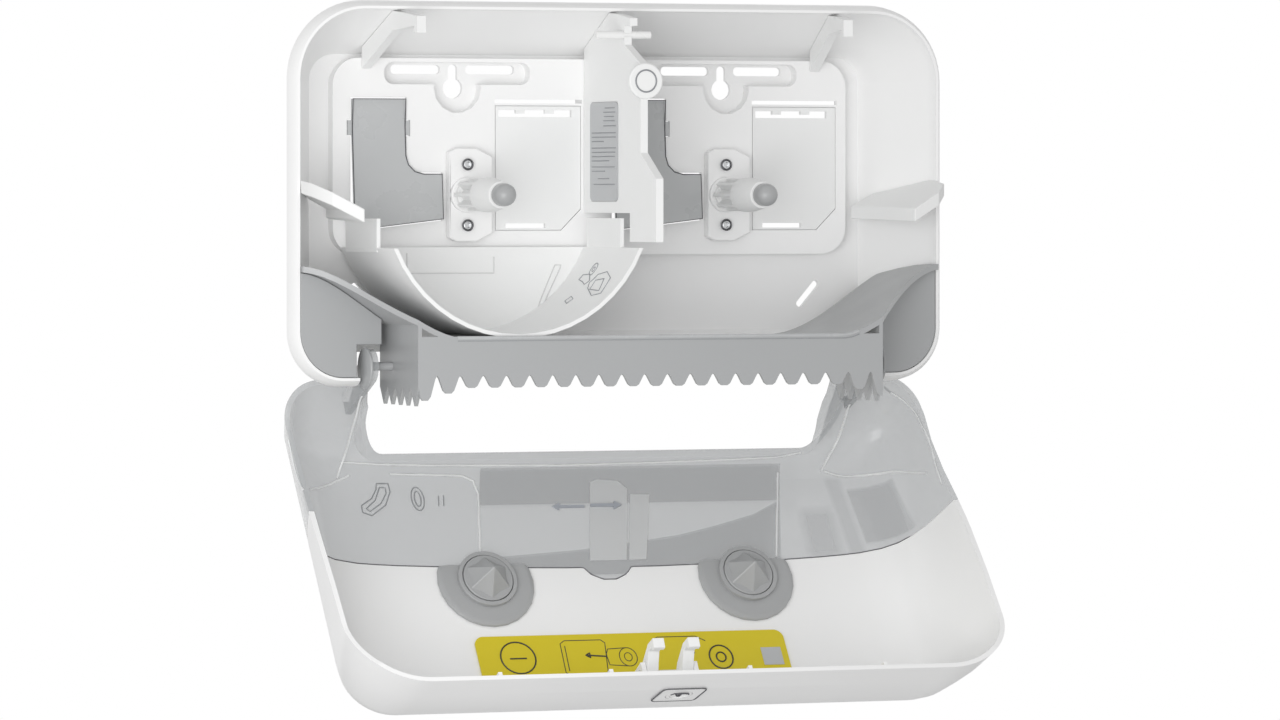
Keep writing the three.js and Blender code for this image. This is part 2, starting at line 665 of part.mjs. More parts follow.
// The pin that the tray's flank holds and the cover's eye turns on, grown by a margin to cut its seat
function pin_of_hinge(sign, margin = 0, overrun = 0) {
  const inner_x = tray.half_width - tray.side_face - overrun;
  const outer_x = hinge_eye.inner_x + hinge_eye.width + hinge_pin.past_eye;
  const ends = span(sign * inner_x, sign * outer_x);
  return rod('x', hinge_pin.radius + margin, ...ends, [0, hinge.y, hinge.z]);
}

function side_wing(sign) {
  const inner_wall = (y) => half_width - hollow_inset(y) - seat_gap;
  const shoulder_y = housing.shoulder_back - housing.depth;
  const lip_x = half_width - housing.lip_inset - housing.lip_flat - seat_gap;
  const plan_points = (inset) => [
    [wing.inner_x + inset, wing.back_y], [inner_wall(wing.back_y), wing.back_y],
    [inner_wall(shoulder_y), shoulder_y], [lip_x, -housing.depth],
    [wing.nose_x - inset, wing.nose_y + inset], [wing.brow_x, wing.brow_y + inset],
    [wing.tip_x + inset, wing.tip_y + inset],
  ].map(([x, y]) => [sign * x, y]);
  const plan = (inset) => plan_slab(
    outline(sign > 0 ? plan_points(inset).reverse() : plan_points(inset)), -housing.depth, housing.depth,
  );
  const layer = (from_top, to_top) => {
    const points = [
      [wing.inner_x - cut_overrun, wing.inner_z - to_top], [wing.outer_x, wing.outer_z - to_top],
      [wing.outer_x, wing.outer_z - from_top], [wing.inner_x - cut_overrun, wing.inner_z - from_top],
    ].map(([x, z]) => [sign * x, z]);
    const shape = outline(sign > 0 ? points : points.reverse());
    const slab = front_slab(shape, cut_overrun, wing.tip_y - cut_overrun);
    return slab.transform(new THREE.Matrix4().makeShear(0, 0, 0, wing.fall_share, 0, 0).elements);
  };
  const whole = common(plan(0), layer(0, wing.height));
  return cut(whole, common(plan(wing.lip), layer(wing.skin, wing.height + cut_overrun)));
}

// Height of the ceiling at a depth, where in front of the shoulder the cover's top wall comes lowest
function ceiling_z(y) {
  const shoulder_y = housing.shoulder_back - housing.depth;
  if (y > shoulder_y) return housing.top - hollow_inset(y);
  const lip_z = housing.top - Math.max(housing.shoulder_wall, housing.lip_inset + housing.lip_flat);
  const shut_cover_z = (housing.top - cover.wall) * cover.top_share - run_gap;
  return y > -housing.depth ? lip_z : Math.min(lip_z, shut_cover_z);
}

function top_bracket(sign) {
  const shoulder_y = housing.shoulder_back - housing.depth;
  const under = (y) => ceiling_z(y) - seat_gap;
  const hook_y = bracket.tip_y + bracket.hook;
  const points = [
    [bracket.back_y, under(bracket.back_y)], [shoulder_y, under(shoulder_y)],
    [-housing.depth, under(-housing.depth) - seat_gap], [bracket.tip_y, bracket.tip_top],
    [bracket.tip_y, bracket.tip_bottom], [hook_y, bracket.tip_bottom],
    [hook_y, bracket.tip_top - bracket.bar], [shoulder_y, under(shoulder_y) - 2 * bracket.bar],
    [bracket.back_y, under(bracket.back_y) - bracket.foot],
  ];
  const bar = side_slab(outline(points), -bracket.width / 2, bracket.width / 2);
  const geometry_turn = new THREE.Matrix4()
    .makeTranslation(sign * bracket.x, bracket.back_y, 0)
    .multiply(new THREE.Matrix4().makeRotationZ(sign * -bracket.lean))
    .multiply(new THREE.Matrix4().makeTranslation(0, -bracket.back_y, 0));
  return common(bar.transform(geometry_turn.elements), housing_clear_front());
}

// Everything in front of the raised panel and inside the housing's hollow
function housing_clear_front() {
  const hollow = housing_hollow(seat_gap, -2 * housing.depth);
  const front = -panel.proud - seat_gap;
  return cut(hollow, block(-half_width, half_width, front, cut_overrun, housing.bottom, housing.top));
}

function divider_arm() {
  const d = divider;
  const shoulder_y = housing.shoulder_back - housing.depth;
  const under = (y) => ceiling_z(y) - seat_gap;
  const points = [
    [d.back_y, d.foot_z], [d.back_y, under(d.back_y)], [shoulder_y, under(shoulder_y)],
    [-housing.depth, under(-housing.depth)], [d.shoe_front_y, d.top_front_z],
    [d.shoe_front_y, d.shoe_bottom_z], [d.neck_y, d.shoe_bottom_z], [d.neck_y, d.neck_z],
    [d.face_y, d.face_top_z], [d.face_y, d.face_low_z], [d.finger_y, d.finger_top_z],
    [d.finger_y, d.finger_z], [d.finger_back_y, d.finger_z], [d.finger_back_y, d.foot_z],
  ];
  const plate = side_slab(outline(points), d.x - d.width / 2, d.x + d.width / 2);
  const stem = badge.radius - 2 * badge.ring_width;
  const socket = rod(
    'y', stem, d.face_y - cut_overrun, d.face_y + badge.length / 2, [d.x, 0, badge.z], round_steps,
  );
  const pin_hole = rod(
    'x', keeper.radius + run_gap / 2, d.x - d.width, d.x + d.width, [0, keeper.y, keeper.z],
  );
  const recess = common(
    side_slab(info_outline(seat_gap), d.x - d.width, d.x - d.width / 2 + info.skin / 2), plate,
  );
  return cut(plate, socket, pin_hole, recess);
}

function info_outline(margin) {
  const [front_y, bottom_z] = [info.back_y - info.width, info.top_z - info.height];
  return rounded_box(
    front_y - margin, info.back_y + margin, bottom_z - margin, info.top_z + margin, info.corner,
  );
}

function info_plate() {
  const outer_x = divider.x - divider.width / 2 - info.skin / 2;
  return side_slab(info_outline(0), outer_x, outer_x + info.skin - seat_gap);
}

function round_badge() {
  const front = divider.face_y - badge.length / 2;
  const back = divider.face_y + badge.length / 2 - seat_gap;
  const stem = badge.radius - 2 * badge.ring_width - seat_gap;
  const ring_out = badge.ring_radius + badge.ring_width / 2;
  const ring_in = badge.ring_radius - badge.ring_width / 2;
  return turned_piece([
    [0, back], [stem, back], [stem, divider.face_y - seat_gap], [badge.radius, divider.face_y - seat_gap],
    [badge.radius, front + badge.ring_depth], [badge.radius - badge.ring_depth, front],
    [ring_out, front], [ring_out, front + badge.ring_depth], [ring_in, front + badge.ring_depth],
    [ring_in, front], [0, front],
  ], divider.x, badge.z);
}

function spindle_seat(x) {
  const back = -panel.proud - seat_gap;
  const front = back - seat.skin;
  const plate = common(
    front_slab(disc(x, 0, seat.end_radius), back, front),
    block(x + seat.left, x + seat.right, front, back, -seat.end_radius, seat.end_radius),
  );
  const boss = rod('y', seat.boss_radius, front - seat.boss, back - seat.skin / 2, [x, 0, 0], round_steps);
  const hole = screw.shank_radius + run_gap;
  const holes = sides.map(({ sign }) => rod(
    'y', hole, front - cut_overrun, back + cut_overrun, [x, 0, sign * screw.offset],
  ));
  const bore = rod(
    'y', axle.radius + run_gap / 2, front - seat.boss - cut_overrun, back + cut_overrun, [x, 0, 0],
  );
  return cut(join(plate, boss), ...holes, bore);
}

function seat_screw(x, z) {
  const under_head = -panel.proud - 2 * seat_gap - seat.skin;
  const top = under_head - screw.head;
  const body = turned_piece([
    [0, top], [screw.head_radius - screw.head / 2, top], [screw.head_radius, under_head - screw.head / 2],
    [screw.head_radius, under_head], [screw.shank_radius, under_head],
    [screw.shank_radius, under_head + screw.length], [0, under_head + screw.length],
  ], x, z, small_round_steps);
  const drive = new THREE.CylinderGeometry(screw.drive_radius, screw.drive_radius, 2 * screw.drive, 6);
  drive.translate(x, top, z);
  return cut(body, solid(drive));
}

function roll_spindle(x) {
  const s = spindle;
  const barrel = turned_piece([
    [0, s.back_y], [s.nose_radius, s.back_y], [s.nose_radius, s.back_y - s.flange],
    [s.core_radius, s.back_y - s.flange], [s.core_radius, s.fin_front_y], [s.collar_radius, s.fin_front_y],
    [s.collar_radius, s.collar_mid_y], [s.nose_radius, s.collar_front_y], [0, s.collar_front_y],
  ], x, 0);
  const fins = Array.from({ length: s.fins / 2 }, (_, i) => {
    const blade = new THREE.BoxGeometry(2 * s.fin_radius, s.back_y - s.fin_front_y, s.fin_width);
    blade.translate(0, (s.back_y + s.fin_front_y) / 2 - s.flange / 2, 0);
    blade.rotateY((i * full_turn) / s.fins);
    blade.translate(x, 0, 0);
    return solid(blade);
  });
  const bore = rod(
    'y', axle.radius + run_gap, s.collar_front_y - cut_overrun, s.back_y + cut_overrun, [x, 0, 0],
  );
  return cut(join(barrel, ...fins), bore);
}

function spindle_cap(x) {
  const back = spindle.collar_front_y - seat_gap;
  const dome = Array.from({ length: corner_steps + 1 }, (_, i) => {
    const angle = (i / corner_steps) * right_angle;
    const rise = back - cap.skirt - cap.front_y;
    return [cap.radius * Math.cos(angle), back - cap.skirt - rise * Math.sin(angle)];
  });
  dome[corner_steps][0] = 0;
  const body = turned_piece([[0, back], [cap.radius, back], ...dome], x, 0);
  return cut(body, rod('y', axle.radius + run_gap, axle.tip_y - run_gap, back + cut_overrun, [x, 0, 0]));
}

function roll_flap(x) {
  const back = flap.pivot_y + flap.skin / 2;
  const front = back - flap.skin;
  const whole = front_slab(flap_outline(x, 0), back, front);
  const band = (low, high) => block(
    x - roll.spacing, x + roll.spacing, front - cut_overrun, back + cut_overrun, low, high,
  );
  const upper = cut(whole, band(housing.bottom, flap.pivot_z));
  const lower = cut(whole, band(flap.pivot_z, housing.top));
  const lean = new THREE.Matrix4()
    .makeTranslation(0, flap.pivot_y, flap.pivot_z)
    .multiply(new THREE.Matrix4().makeRotationX(-flap.lean))
    .multiply(new THREE.Matrix4().makeTranslation(0, -flap.pivot_y, -flap.pivot_z));
  const ends = [x + flap.left - flap.stub, x + flap.leg_right + flap.stub];
  const bar = rod('x', flap.pivot_radius, ...ends, [0, flap.pivot_y, flap.pivot_z]);
  const tabs = block(
    ...ends, front, back, flap.pivot_z - flap.stub_half_height, flap.pivot_z + flap.stub_half_height,
  );
  return join(upper, lower.transform(lean.elements), bar, tabs);
}

function shutter_bowl() {
  const s = shutter;
  const x = places[0].x;
  const ring = (radius, back_y, front_y) => rod('y', radius, front_y, back_y, [x, 0, 0], 2 * round_steps);
  const reach = s.radius + s.wall + cut_overrun;
  const below = block(x - reach, x + reach, s.front_y - cut_overrun, cut_overrun, housing.bottom, s.rim_z);
  const outer = ring(s.radius + s.wall, s.back_y, s.front_y);
  const inner = ring(s.radius, s.back_y - s.back_wall, s.front_y - cut_overrun);
  const bowl = common(cut(outer, inner), below);
  const rim_x = Math.sqrt(s.radius ** 2 - s.rim_z ** 2);
  const tabs = sides.map(({ sign }) => {
    const ends = span(x + sign * rim_x, x + sign * (rim_x + s.wall));
    return block(...ends, s.tab_front_y, s.tab_back_y, s.rim_z - s.wall, s.tab_top);
  });
  return join(bowl, ...tabs);
}

// Cover, in its closed place

const cover_solid = dish(cover_bow, cover_swell);
const cover_inside = (skin) => dish([
  { y: cover_back_y + cut_overrun + skin, inset: cover_bow[0].inset + skin },
  ...cover_bow.map(({ y, inset }) => ({ y: y + skin, inset: inset + skin })),
], cover_swell);

function window_region(margin) {
  const shape = new THREE.Shape();
  const top = cover.part_z + margin;
  const reach = part_half_width + cut_overrun;
  shape.moveTo(-reach, housing.bottom - cut_overrun);
  shape.lineTo(reach, housing.bottom - cut_overrun);
  shape.lineTo(reach, top - cover.part_drop);
  shape.quadraticCurveTo(0, top + cover.part_drop, -reach, top - cover.part_drop);
  shape.closePath();
  const tongue_z = cover.part_z + cover.tongue_rise - cover.tongue_radius;
  return join(
    front_slab(shape, cover_back_y + cut_overrun, cover_bow.at(-1).y - cut_overrun),
    front_slab(
      disc(cover.tongue_x, tongue_z, cover.tongue_radius + margin), cover_back_y + cut_overrun,
      cover_bow.at(-1).y - cut_overrun,
    ),
  );
}

// Top wall of the cover: its outer height and slope at the lock
function lock_frame() {
  const at = cover_bow.findIndex(({ y }) => y < lock.y);
  const [a, b] = [cover_bow[at - 1], cover_bow[at]];
  const share = (lock.y - a.y) / (b.y - a.y);
  const z = (housing.top - (a.inset + share * (b.inset - a.inset))) * cover.top_share;
  const tilt = Math.atan2(b.inset - a.inset, a.y - b.y);
  return new THREE.Matrix4()
    .makeTranslation(lock.x, lock.y, z)
    .multiply(new THREE.Matrix4().makeRotationX(tilt));
}

function at_lock(geometry) {
  return solid(geometry.applyMatrix4(lock_frame()));
}

function lock_disc(radius, low, high, steps = round_steps) {
  const geometry = new THREE.CylinderGeometry(radius, radius, high - low, steps);
  geometry.rotateX(right_angle);
  geometry.translate(0, 0, (low + high) / 2);
  return at_lock(geometry);
}

function lock_plate() {
  const { half_width: w, half_depth: d, corner } = lock;
  const geometry = extruded(rounded_box(-w, w, -d, d, corner), lock.plate);
  geometry.translate(0, 0, -lock.plate / 2);
  return cut(at_lock(geometry), lock_disc(lock.barrel_radius + run_gap, -cut_overrun, cut_overrun));
}

function lock_recess() {
  const { half_width: w, half_depth: d, corner } = lock;
  const [x, y] = [w + seat_gap, d + seat_gap];
  const geometry = extruded(rounded_box(-x, x, -y, y, corner), cut_overrun);
  geometry.translate(0, 0, -lock.plate / 2 - seat_gap);
  return join(at_lock(geometry), lock_disc(lock.neck_radius + run_gap, -lock.barrel_inner, cut_overrun));
}

function lock_barrel() {
  const head_low = -lock.plate / 2;
  const head = lock_disc(lock.barrel_radius, head_low, lock.plate / 2);
  const neck = lock_disc(lock.neck_radius, -lock.barrel_inner, head_low + seat_gap);
  const dish_cut = lock_disc(lock.dish_radius, lock.plate / 2 - lock.dish, cut_overrun);
  const slot = new THREE.BoxGeometry(lock.slot_length, lock.slot_width, 2 * lock.slot);
  slot.translate(0, 0, lock.plate / 2 - lock.dish);
  return cut(join(head, neck), dish_cut, at_lock(slot));
}

function latch_claw() {
  const { x } = claw;
  const prongs = sides.map(({ sign }) => {
    const middle = x + sign * claw.spread;
    const shape = outline(claw_outline.slice().reverse());
    return side_slab(shape, middle - claw.width / 2, middle + claw.width / 2);
  });
  const reach = claw.spread + claw.width / 2;
  const bar = rod(
    'x', claw.pivot_radius, x - reach - claw.stub, x + reach + claw.stub, [0, claw.pivot_y, claw.pivot_z],
  );
  return join(...prongs, bar);
}

function claw_lugs() {
  const reach = claw.spread + claw.width / 2 + run_gap;
  const lugs = sides.map(({ sign }) => block(
    ...span(claw.x + sign * reach, claw.x + sign * (reach + claw.lug)), claw.pivot_y - claw.lug_reach,
    claw.pivot_y + claw.lug_reach, claw.pivot_z - claw.lug_reach, housing.top,
  ));
  const bore = rod(
    'x', claw.pivot_radius + run_gap, claw.x - 2 * reach, claw.x + 2 * reach, [0, claw.pivot_y, claw.pivot_z],
  );
  return cut(common(join(...lugs), cover_solid), bore);
}

// Everything on the wall's side of the cover's side edges, which draw back towards the bottom
function behind_edge() {
  const far_back = [[cut_overrun, cover_edge.at(-1)[1]], [cut_overrun, cover_edge[0][1]]];
  const reach = half_width * (1 + cover.flare_share) + cut_overrun;
  return side_slab(outline([...cover_edge, ...far_back]), -reach, reach);
}

function cover_whole() {
  return cut(cover_solid, cover_inside(cover.wall), behind_edge());
}

function cover_shell() {
  const rib_places = cover_rib.place_shares.map((share) => share * half_width);
  const ribs = rib_places.map((x) => block(
    x - cover_rib.width / 2, x + cover_rib.width / 2, cover_rib.back_y - cover_rib.depth, cover_rib.back_y,
    housing.top - cover.wall - cover_rib.height, housing.top,
  ));
  const inner_y = cover_bow.at(-1).y + cover.wall;
  const post = places.map(({ x }) => rod(
    'y', cone_seat.post_radius * 2, inner_y - cover.wall / 2, inner_y + seat_gap,
    [x, 0, 3 * cone_seat.post_radius],
  ));
  const body = join(cover_whole(), common(join(...ribs), cover_solid), claw_lugs(), ...post);
  return cut(body, window_region(seat_gap), lock_recess());
}

function hinge_eye_piece(sign) {
  const { y, z } = hinge;
  const eye = hinge_eye;
  const ends = span(sign * eye.inner_x, sign * (eye.inner_x + eye.width));
  const barrel = rod('x', eye.radius, ...ends, [0, y, z], round_steps);
  const arm = side_slab(outline([
    [y, z - eye.radius], [y, z + eye.radius], [y - eye.reach_y, z + eye.reach_high],
    [y - eye.reach_y, z + eye.reach_low],
  ].reverse()), ...ends);
  const bore = rod('x', hinge_pin.radius + run_gap, ends[0] - cut_overrun, ends[1] + cut_overrun, [0, y, z]);
  return { body: join(barrel, arm), bore };
}

// The gap in the cover's foot that the comb looks out of. Its sides lean outwards as they rise and draw in
// towards the front.
function foot_gap(margin) {
  const c = cover;
  const depth = c.cut_back_y - cover_bow.at(-1).y + cut_overrun;
  const half = cut_half_width + margin;
  const low = housing.bottom * c.foot_share - cut_overrun;
  const section = rounded_box(-half, half, low, c.cut_z + margin, run_gap, c.cut_corner + margin);
  const geometry = extruded(section, depth, c.cut_steps);
  const position = geometry.getAttribute('position');
  for (let i = 0; i < position.count; i += 1) {
    const rise = position.getY(i) - housing.bottom;
    const past_comb = Math.max(position.getZ(i) - depth / c.cut_steps, 0);
    const widening = c.cut_lean_share * rise - c.cut_taper_share * past_comb;
    position.setX(i, position.getX(i) * (1 + widening / half));
  }
  geometry.rotateX(right_angle);
  geometry.translate(0, c.cut_back_y, 0);
  return solid(geometry);
}

// Everything over the flange that stands up round the gap
function above_flange() {
  const c = cover;
  const front_y = cover_bow.at(-1).y;
  return side_slab(outline([
    [cut_overrun, 0], [front_y - cut_overrun, 0], [front_y - cut_overrun, c.flange_front_z],
    [front_y, c.flange_front_z], [c.cut_back_y, c.flange_back_z], [cut_overrun, c.flange_back_z],
  ]), -half_width, half_width);
}

function cover_window() {
  const flange = common(cut(foot_gap(cover.flange), foot_gap(0)), cover_solid);
  const eyes = sides.map(({ sign }) => hinge_eye_piece(sign));
  const skin = cut(common(cover_whole(), window_region(0)), foot_gap(0));
  const body = join(skin, cut(flange, above_flange(), behind_edge()), ...eyes.map(({ body: eye }) => eye));
  return cut(body, foot_gap(0), ...eyes.map(({ bore }) => bore));
}

function instruction_label() {
  const layer = cut(cover_inside(cover.wall + seat_gap), cover_inside(cover.wall + seat_gap + label.skin));
  const area = front_slab(
    rounded_box(-label.half_width, label.half_width, label.bottom, label.top, label.corner),
    cover_back_y - housing.depth, cover_bow.at(-1).y,
  );
  return common(layer, area);
}

function cone_seat_piece(x) {
  const c = cone_seat;
  const base = cover_bow.at(-1).y + cover.wall + seat_gap;
  const inner = c.ring_radius - c.ring_wall;
  const body = turned_piece([
    [0, base], [c.radius, base], [c.radius, base + c.base / 2], [c.radius - c.base, base + c.base],
    [c.ring_radius, base + c.base], [c.ring_radius, base + c.ring], [inner, base + c.ring],
    [inner, base + c.base], [c.post_radius, base + c.base], [c.post_radius, base + c.ring],
    [0, base + c.ring],
  ], x, 0);
  const ring_keep = rod('y', c.ring_radius, base, base + c.ring, [x, 0, 0], round_steps);
  const below = block(x - c.radius, x + c.radius, base - cut_overrun, base + c.ring, -c.radius, c.flat_z);
  return cut(join(cut(body, below), common(ring_keep, body)), wall_socket(x));
}

// Room in the seat for the round boss on the shell that carries it
function wall_socket(x) {
  const radius = 2 * cone_seat.post_radius + seat_gap;
  const base = cover_bow.at(-1).y + cover.wall;
  return rod('y', radius, base - cut_overrun, base + seat_gap * 2, [x, 0, 3 * cone_seat.post_radius]);
}

function star_cone(x) {
  const base = cover_bow.at(-1).y + cover.wall + seat_gap + cone_seat.base + seat_gap;
  const star = new THREE.ConeGeometry(cone.star_radius, cone.height, 2 * cone.points, 1);
  const position = star.getAttribute('position');
  for (let i = 0; i < position.count; i += 1) {
    const [px, pz] = [position.getX(i), position.getZ(i)];
    const turn = Math.round((Math.atan2(px, pz) / full_turn) * 2 * cone.points);
    const share = Math.abs(turn % 2) === 1 ? cone.valley_share : 1;
    position.setX(i, px * share);
    position.setZ(i, pz * share);
  }
  star.translate(x, base + cone.base + cone.height / 2, 0);
  const disc_part = rod('y', cone.base_radius, base, base + cone.base + seat_gap, [x, 0, 0], round_steps);
  const bore = rod('y', cone_seat.post_radius + run_gap, base - cut_overrun, base + cone.bore, [x, 0, 0]);
  return cut(join(disc_part, solid(star)), bore);
}

function latch_keeper_pin() {
  const ends = [claw.x - keeper.half_length, claw.x + keeper.half_length];
  return rod('x', keeper.radius, ...ends, [0, keeper.y, keeper.z]);
}

function housing_pieces() {
  const { white, warm_white, tray_grey, cap_grey, steel } = finishes;
  return [
    mesh_of('rear_housing', rear_housing(), white),
    mesh_of('tear_tray', tear_tray(), tray_grey),
    mesh_of('divider_arm', divider_arm(), white),
    mesh_of('info_plate', info_plate(), warm_white),
    mesh_of('round_badge', round_badge(), white),
    mesh_of('latch_keeper_pin', latch_keeper_pin(), steel),
    ...sides.flatMap(({ name, sign }) => [
      mesh_of(`${name}_cheek`, cheek_plate(sign), tray_grey),
      mesh_of(`${name}_hinge_pin`, pin_of_hinge(sign), tray_grey),
      mesh_of(`${name}_wing`, side_wing(sign), white),
      mesh_of(`${name}_bracket`, top_bracket(sign), white),
    ]),
    ...places.flatMap(({ name, x }) => [
      mesh_of(`${name}_spindle_seat`, spindle_seat(x), white),
      mesh_of(`${name}_upper_screw`, seat_screw(x, screw.offset), steel),
      mesh_of(`${name}_lower_screw`, seat_screw(x, -screw.offset), steel),
      mesh_of(`${name}_axle`, rod('y', axle.radius, axle.tip_y, axle.back_y, [x, 0, 0]), steel),
      mesh_of(`${name}_blanking_plate`, blanking_plate(x), white),
      mesh_of(`${name}_spindle`, roll_spindle(x), white),
      mesh_of(`${name}_spindle_cap`, spindle_cap(x), cap_grey),
      mesh_of(`${name}_roll_flap`, roll_flap(x), tray_grey),
    ]),
    mesh_of('shutter', shutter_bowl(), white),
  ];
}

function cover_pieces() {
  const { white, smoke, mustard, cap_grey } = finishes;
  return [
    mesh_of('cover_shell', cover_shell(), white),
    mesh_of('cover_window', cover_window(), smoke),
    mesh_of('instruction_label', instruction_label(), mustard),
    mesh_of('lock_plate', lock_plate(), white),
    mesh_of('lock_barrel', lock_barrel(), white),
    mesh_of('latch_claw', latch_claw(), white),
    ...places.flatMap(({ name, x }) => [
      mesh_of(`${name}_cone_seat`, cone_seat_piece(x), cap_grey),
      mesh_of(`${name}_cone`, star_cone(x), cap_grey),
    ]),
  ];
}

const closed_cover = new THREE.Group();
closed_cover.add(...cover_pieces());
closed_cover.position.set(0, -hinge.y, -hinge.z);

const open_cover = new THREE.Group();
open_cover.add(closed_cover);
open_cover.position.set(0, hinge.y, hinge.z);
open_cover.rotation.x = hinge.open_angle;

const dispenser = new THREE.Group();
dispenser.add(...housing_pieces(), open_cover);

export default dispenser;
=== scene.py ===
"""Looks of a wall dispenser for two toilet rolls, with its cover swung down on its bottom hinge."""

import json
import logging
import math
from dataclasses import dataclass, field
from enum import Enum
from typing import Callable, Iterable, NamedTuple, Sequence

import bmesh
import bpy
from mathutils import Matrix, Vector
from mathutils.bvhtree import BVHTree

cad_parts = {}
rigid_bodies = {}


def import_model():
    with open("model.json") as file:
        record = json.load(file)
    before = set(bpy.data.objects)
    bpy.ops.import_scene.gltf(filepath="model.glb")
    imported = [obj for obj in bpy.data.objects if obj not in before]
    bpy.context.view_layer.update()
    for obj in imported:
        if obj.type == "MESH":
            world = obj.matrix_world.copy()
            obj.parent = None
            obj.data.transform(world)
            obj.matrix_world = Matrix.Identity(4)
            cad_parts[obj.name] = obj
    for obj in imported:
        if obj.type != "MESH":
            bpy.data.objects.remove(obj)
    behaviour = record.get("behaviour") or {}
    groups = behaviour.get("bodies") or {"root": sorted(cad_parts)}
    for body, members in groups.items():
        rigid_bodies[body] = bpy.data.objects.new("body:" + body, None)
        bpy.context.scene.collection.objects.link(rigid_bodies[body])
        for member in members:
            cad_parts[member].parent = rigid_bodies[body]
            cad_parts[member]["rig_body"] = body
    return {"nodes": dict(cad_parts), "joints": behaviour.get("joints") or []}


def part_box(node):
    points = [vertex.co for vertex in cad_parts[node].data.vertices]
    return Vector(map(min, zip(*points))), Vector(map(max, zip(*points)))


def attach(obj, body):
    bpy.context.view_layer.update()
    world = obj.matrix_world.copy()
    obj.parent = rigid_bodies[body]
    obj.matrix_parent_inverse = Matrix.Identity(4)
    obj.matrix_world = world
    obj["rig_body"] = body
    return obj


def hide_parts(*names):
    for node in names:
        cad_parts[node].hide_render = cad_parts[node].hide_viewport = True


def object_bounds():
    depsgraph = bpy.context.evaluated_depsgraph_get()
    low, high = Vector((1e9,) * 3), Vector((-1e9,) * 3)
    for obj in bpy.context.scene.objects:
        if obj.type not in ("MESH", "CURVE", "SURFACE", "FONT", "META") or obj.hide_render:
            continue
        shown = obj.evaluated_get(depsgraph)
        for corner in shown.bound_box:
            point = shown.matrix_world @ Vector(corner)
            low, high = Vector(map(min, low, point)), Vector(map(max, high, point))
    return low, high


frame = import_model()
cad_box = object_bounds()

log = logging.getLogger("dispenser")

MM = 0.001
WELD = 1e-6
HALVINGS = 12
NOISE_LOW, NOISE_HIGH = 0.3, 0.7
THIN_SHARP_ANGLE = math.radians(40)
LINE_SHARP_ANGLE = math.radians(60)
# Y in millimetres, inside the closed cover, from which its skin is looked for.
INSIDE_CLOSED_COVER = -70.0
TO_FRONT, TO_BACK, DOWN = Vector((0.0, -1.0, 0.0)), Vector((0.0, 1.0, 0.0)), Vector((0.0, 0.0, -1.0))
Colour = tuple[float, float, float]
Place = tuple[float, float, float]
Spot = tuple[float, float]
Strokes = Sequence[tuple[bool, Sequence[Spot]]]
SCREWS = ("left_upper_screw", "left_lower_screw", "right_upper_screw", "right_lower_screw")
# What the cover carries is drawn on the closed cover, and OPENED swings it down with the cover.
COVER_HINGE = next(joint for joint in frame["joints"] if joint["name"] == "cover_hinge")
HINGE = Vector(COVER_HINGE["pos_m"])
SWING = -math.radians(COVER_HINGE["range_deg"][0])
OPENED = Matrix.Translation(HINGE) @ Matrix.Rotation(SWING, 4, "X") @ Matrix.Translation(-HINGE)
AS_PLACED = Matrix.Identity(4)


class Slot(Enum):
    """The record's material slots."""

    WHITE = "white_plastic"
    GUIDE = "guide_white"
    TRAY = "tray_grey"
    CAP = "cap_grey"
    WINDOW = "smoke_window"
    STEEL = "steel"
    LABEL = "label_mustard"


class Body(Enum):
    """The bodies that pieces ride on."""

    HOUSING = "housing"
    COVER = "cover"
    SHUTTER = "shutter"
    LOCK = "lock_barrel"
    LEFT_FLAP = "left_flap"
    RIGHT_FLAP = "right_flap"


class Waves(NamedTuple):
    """How fine a noise is: waves a metre, and octaves."""

    scale: float
    octaves: float


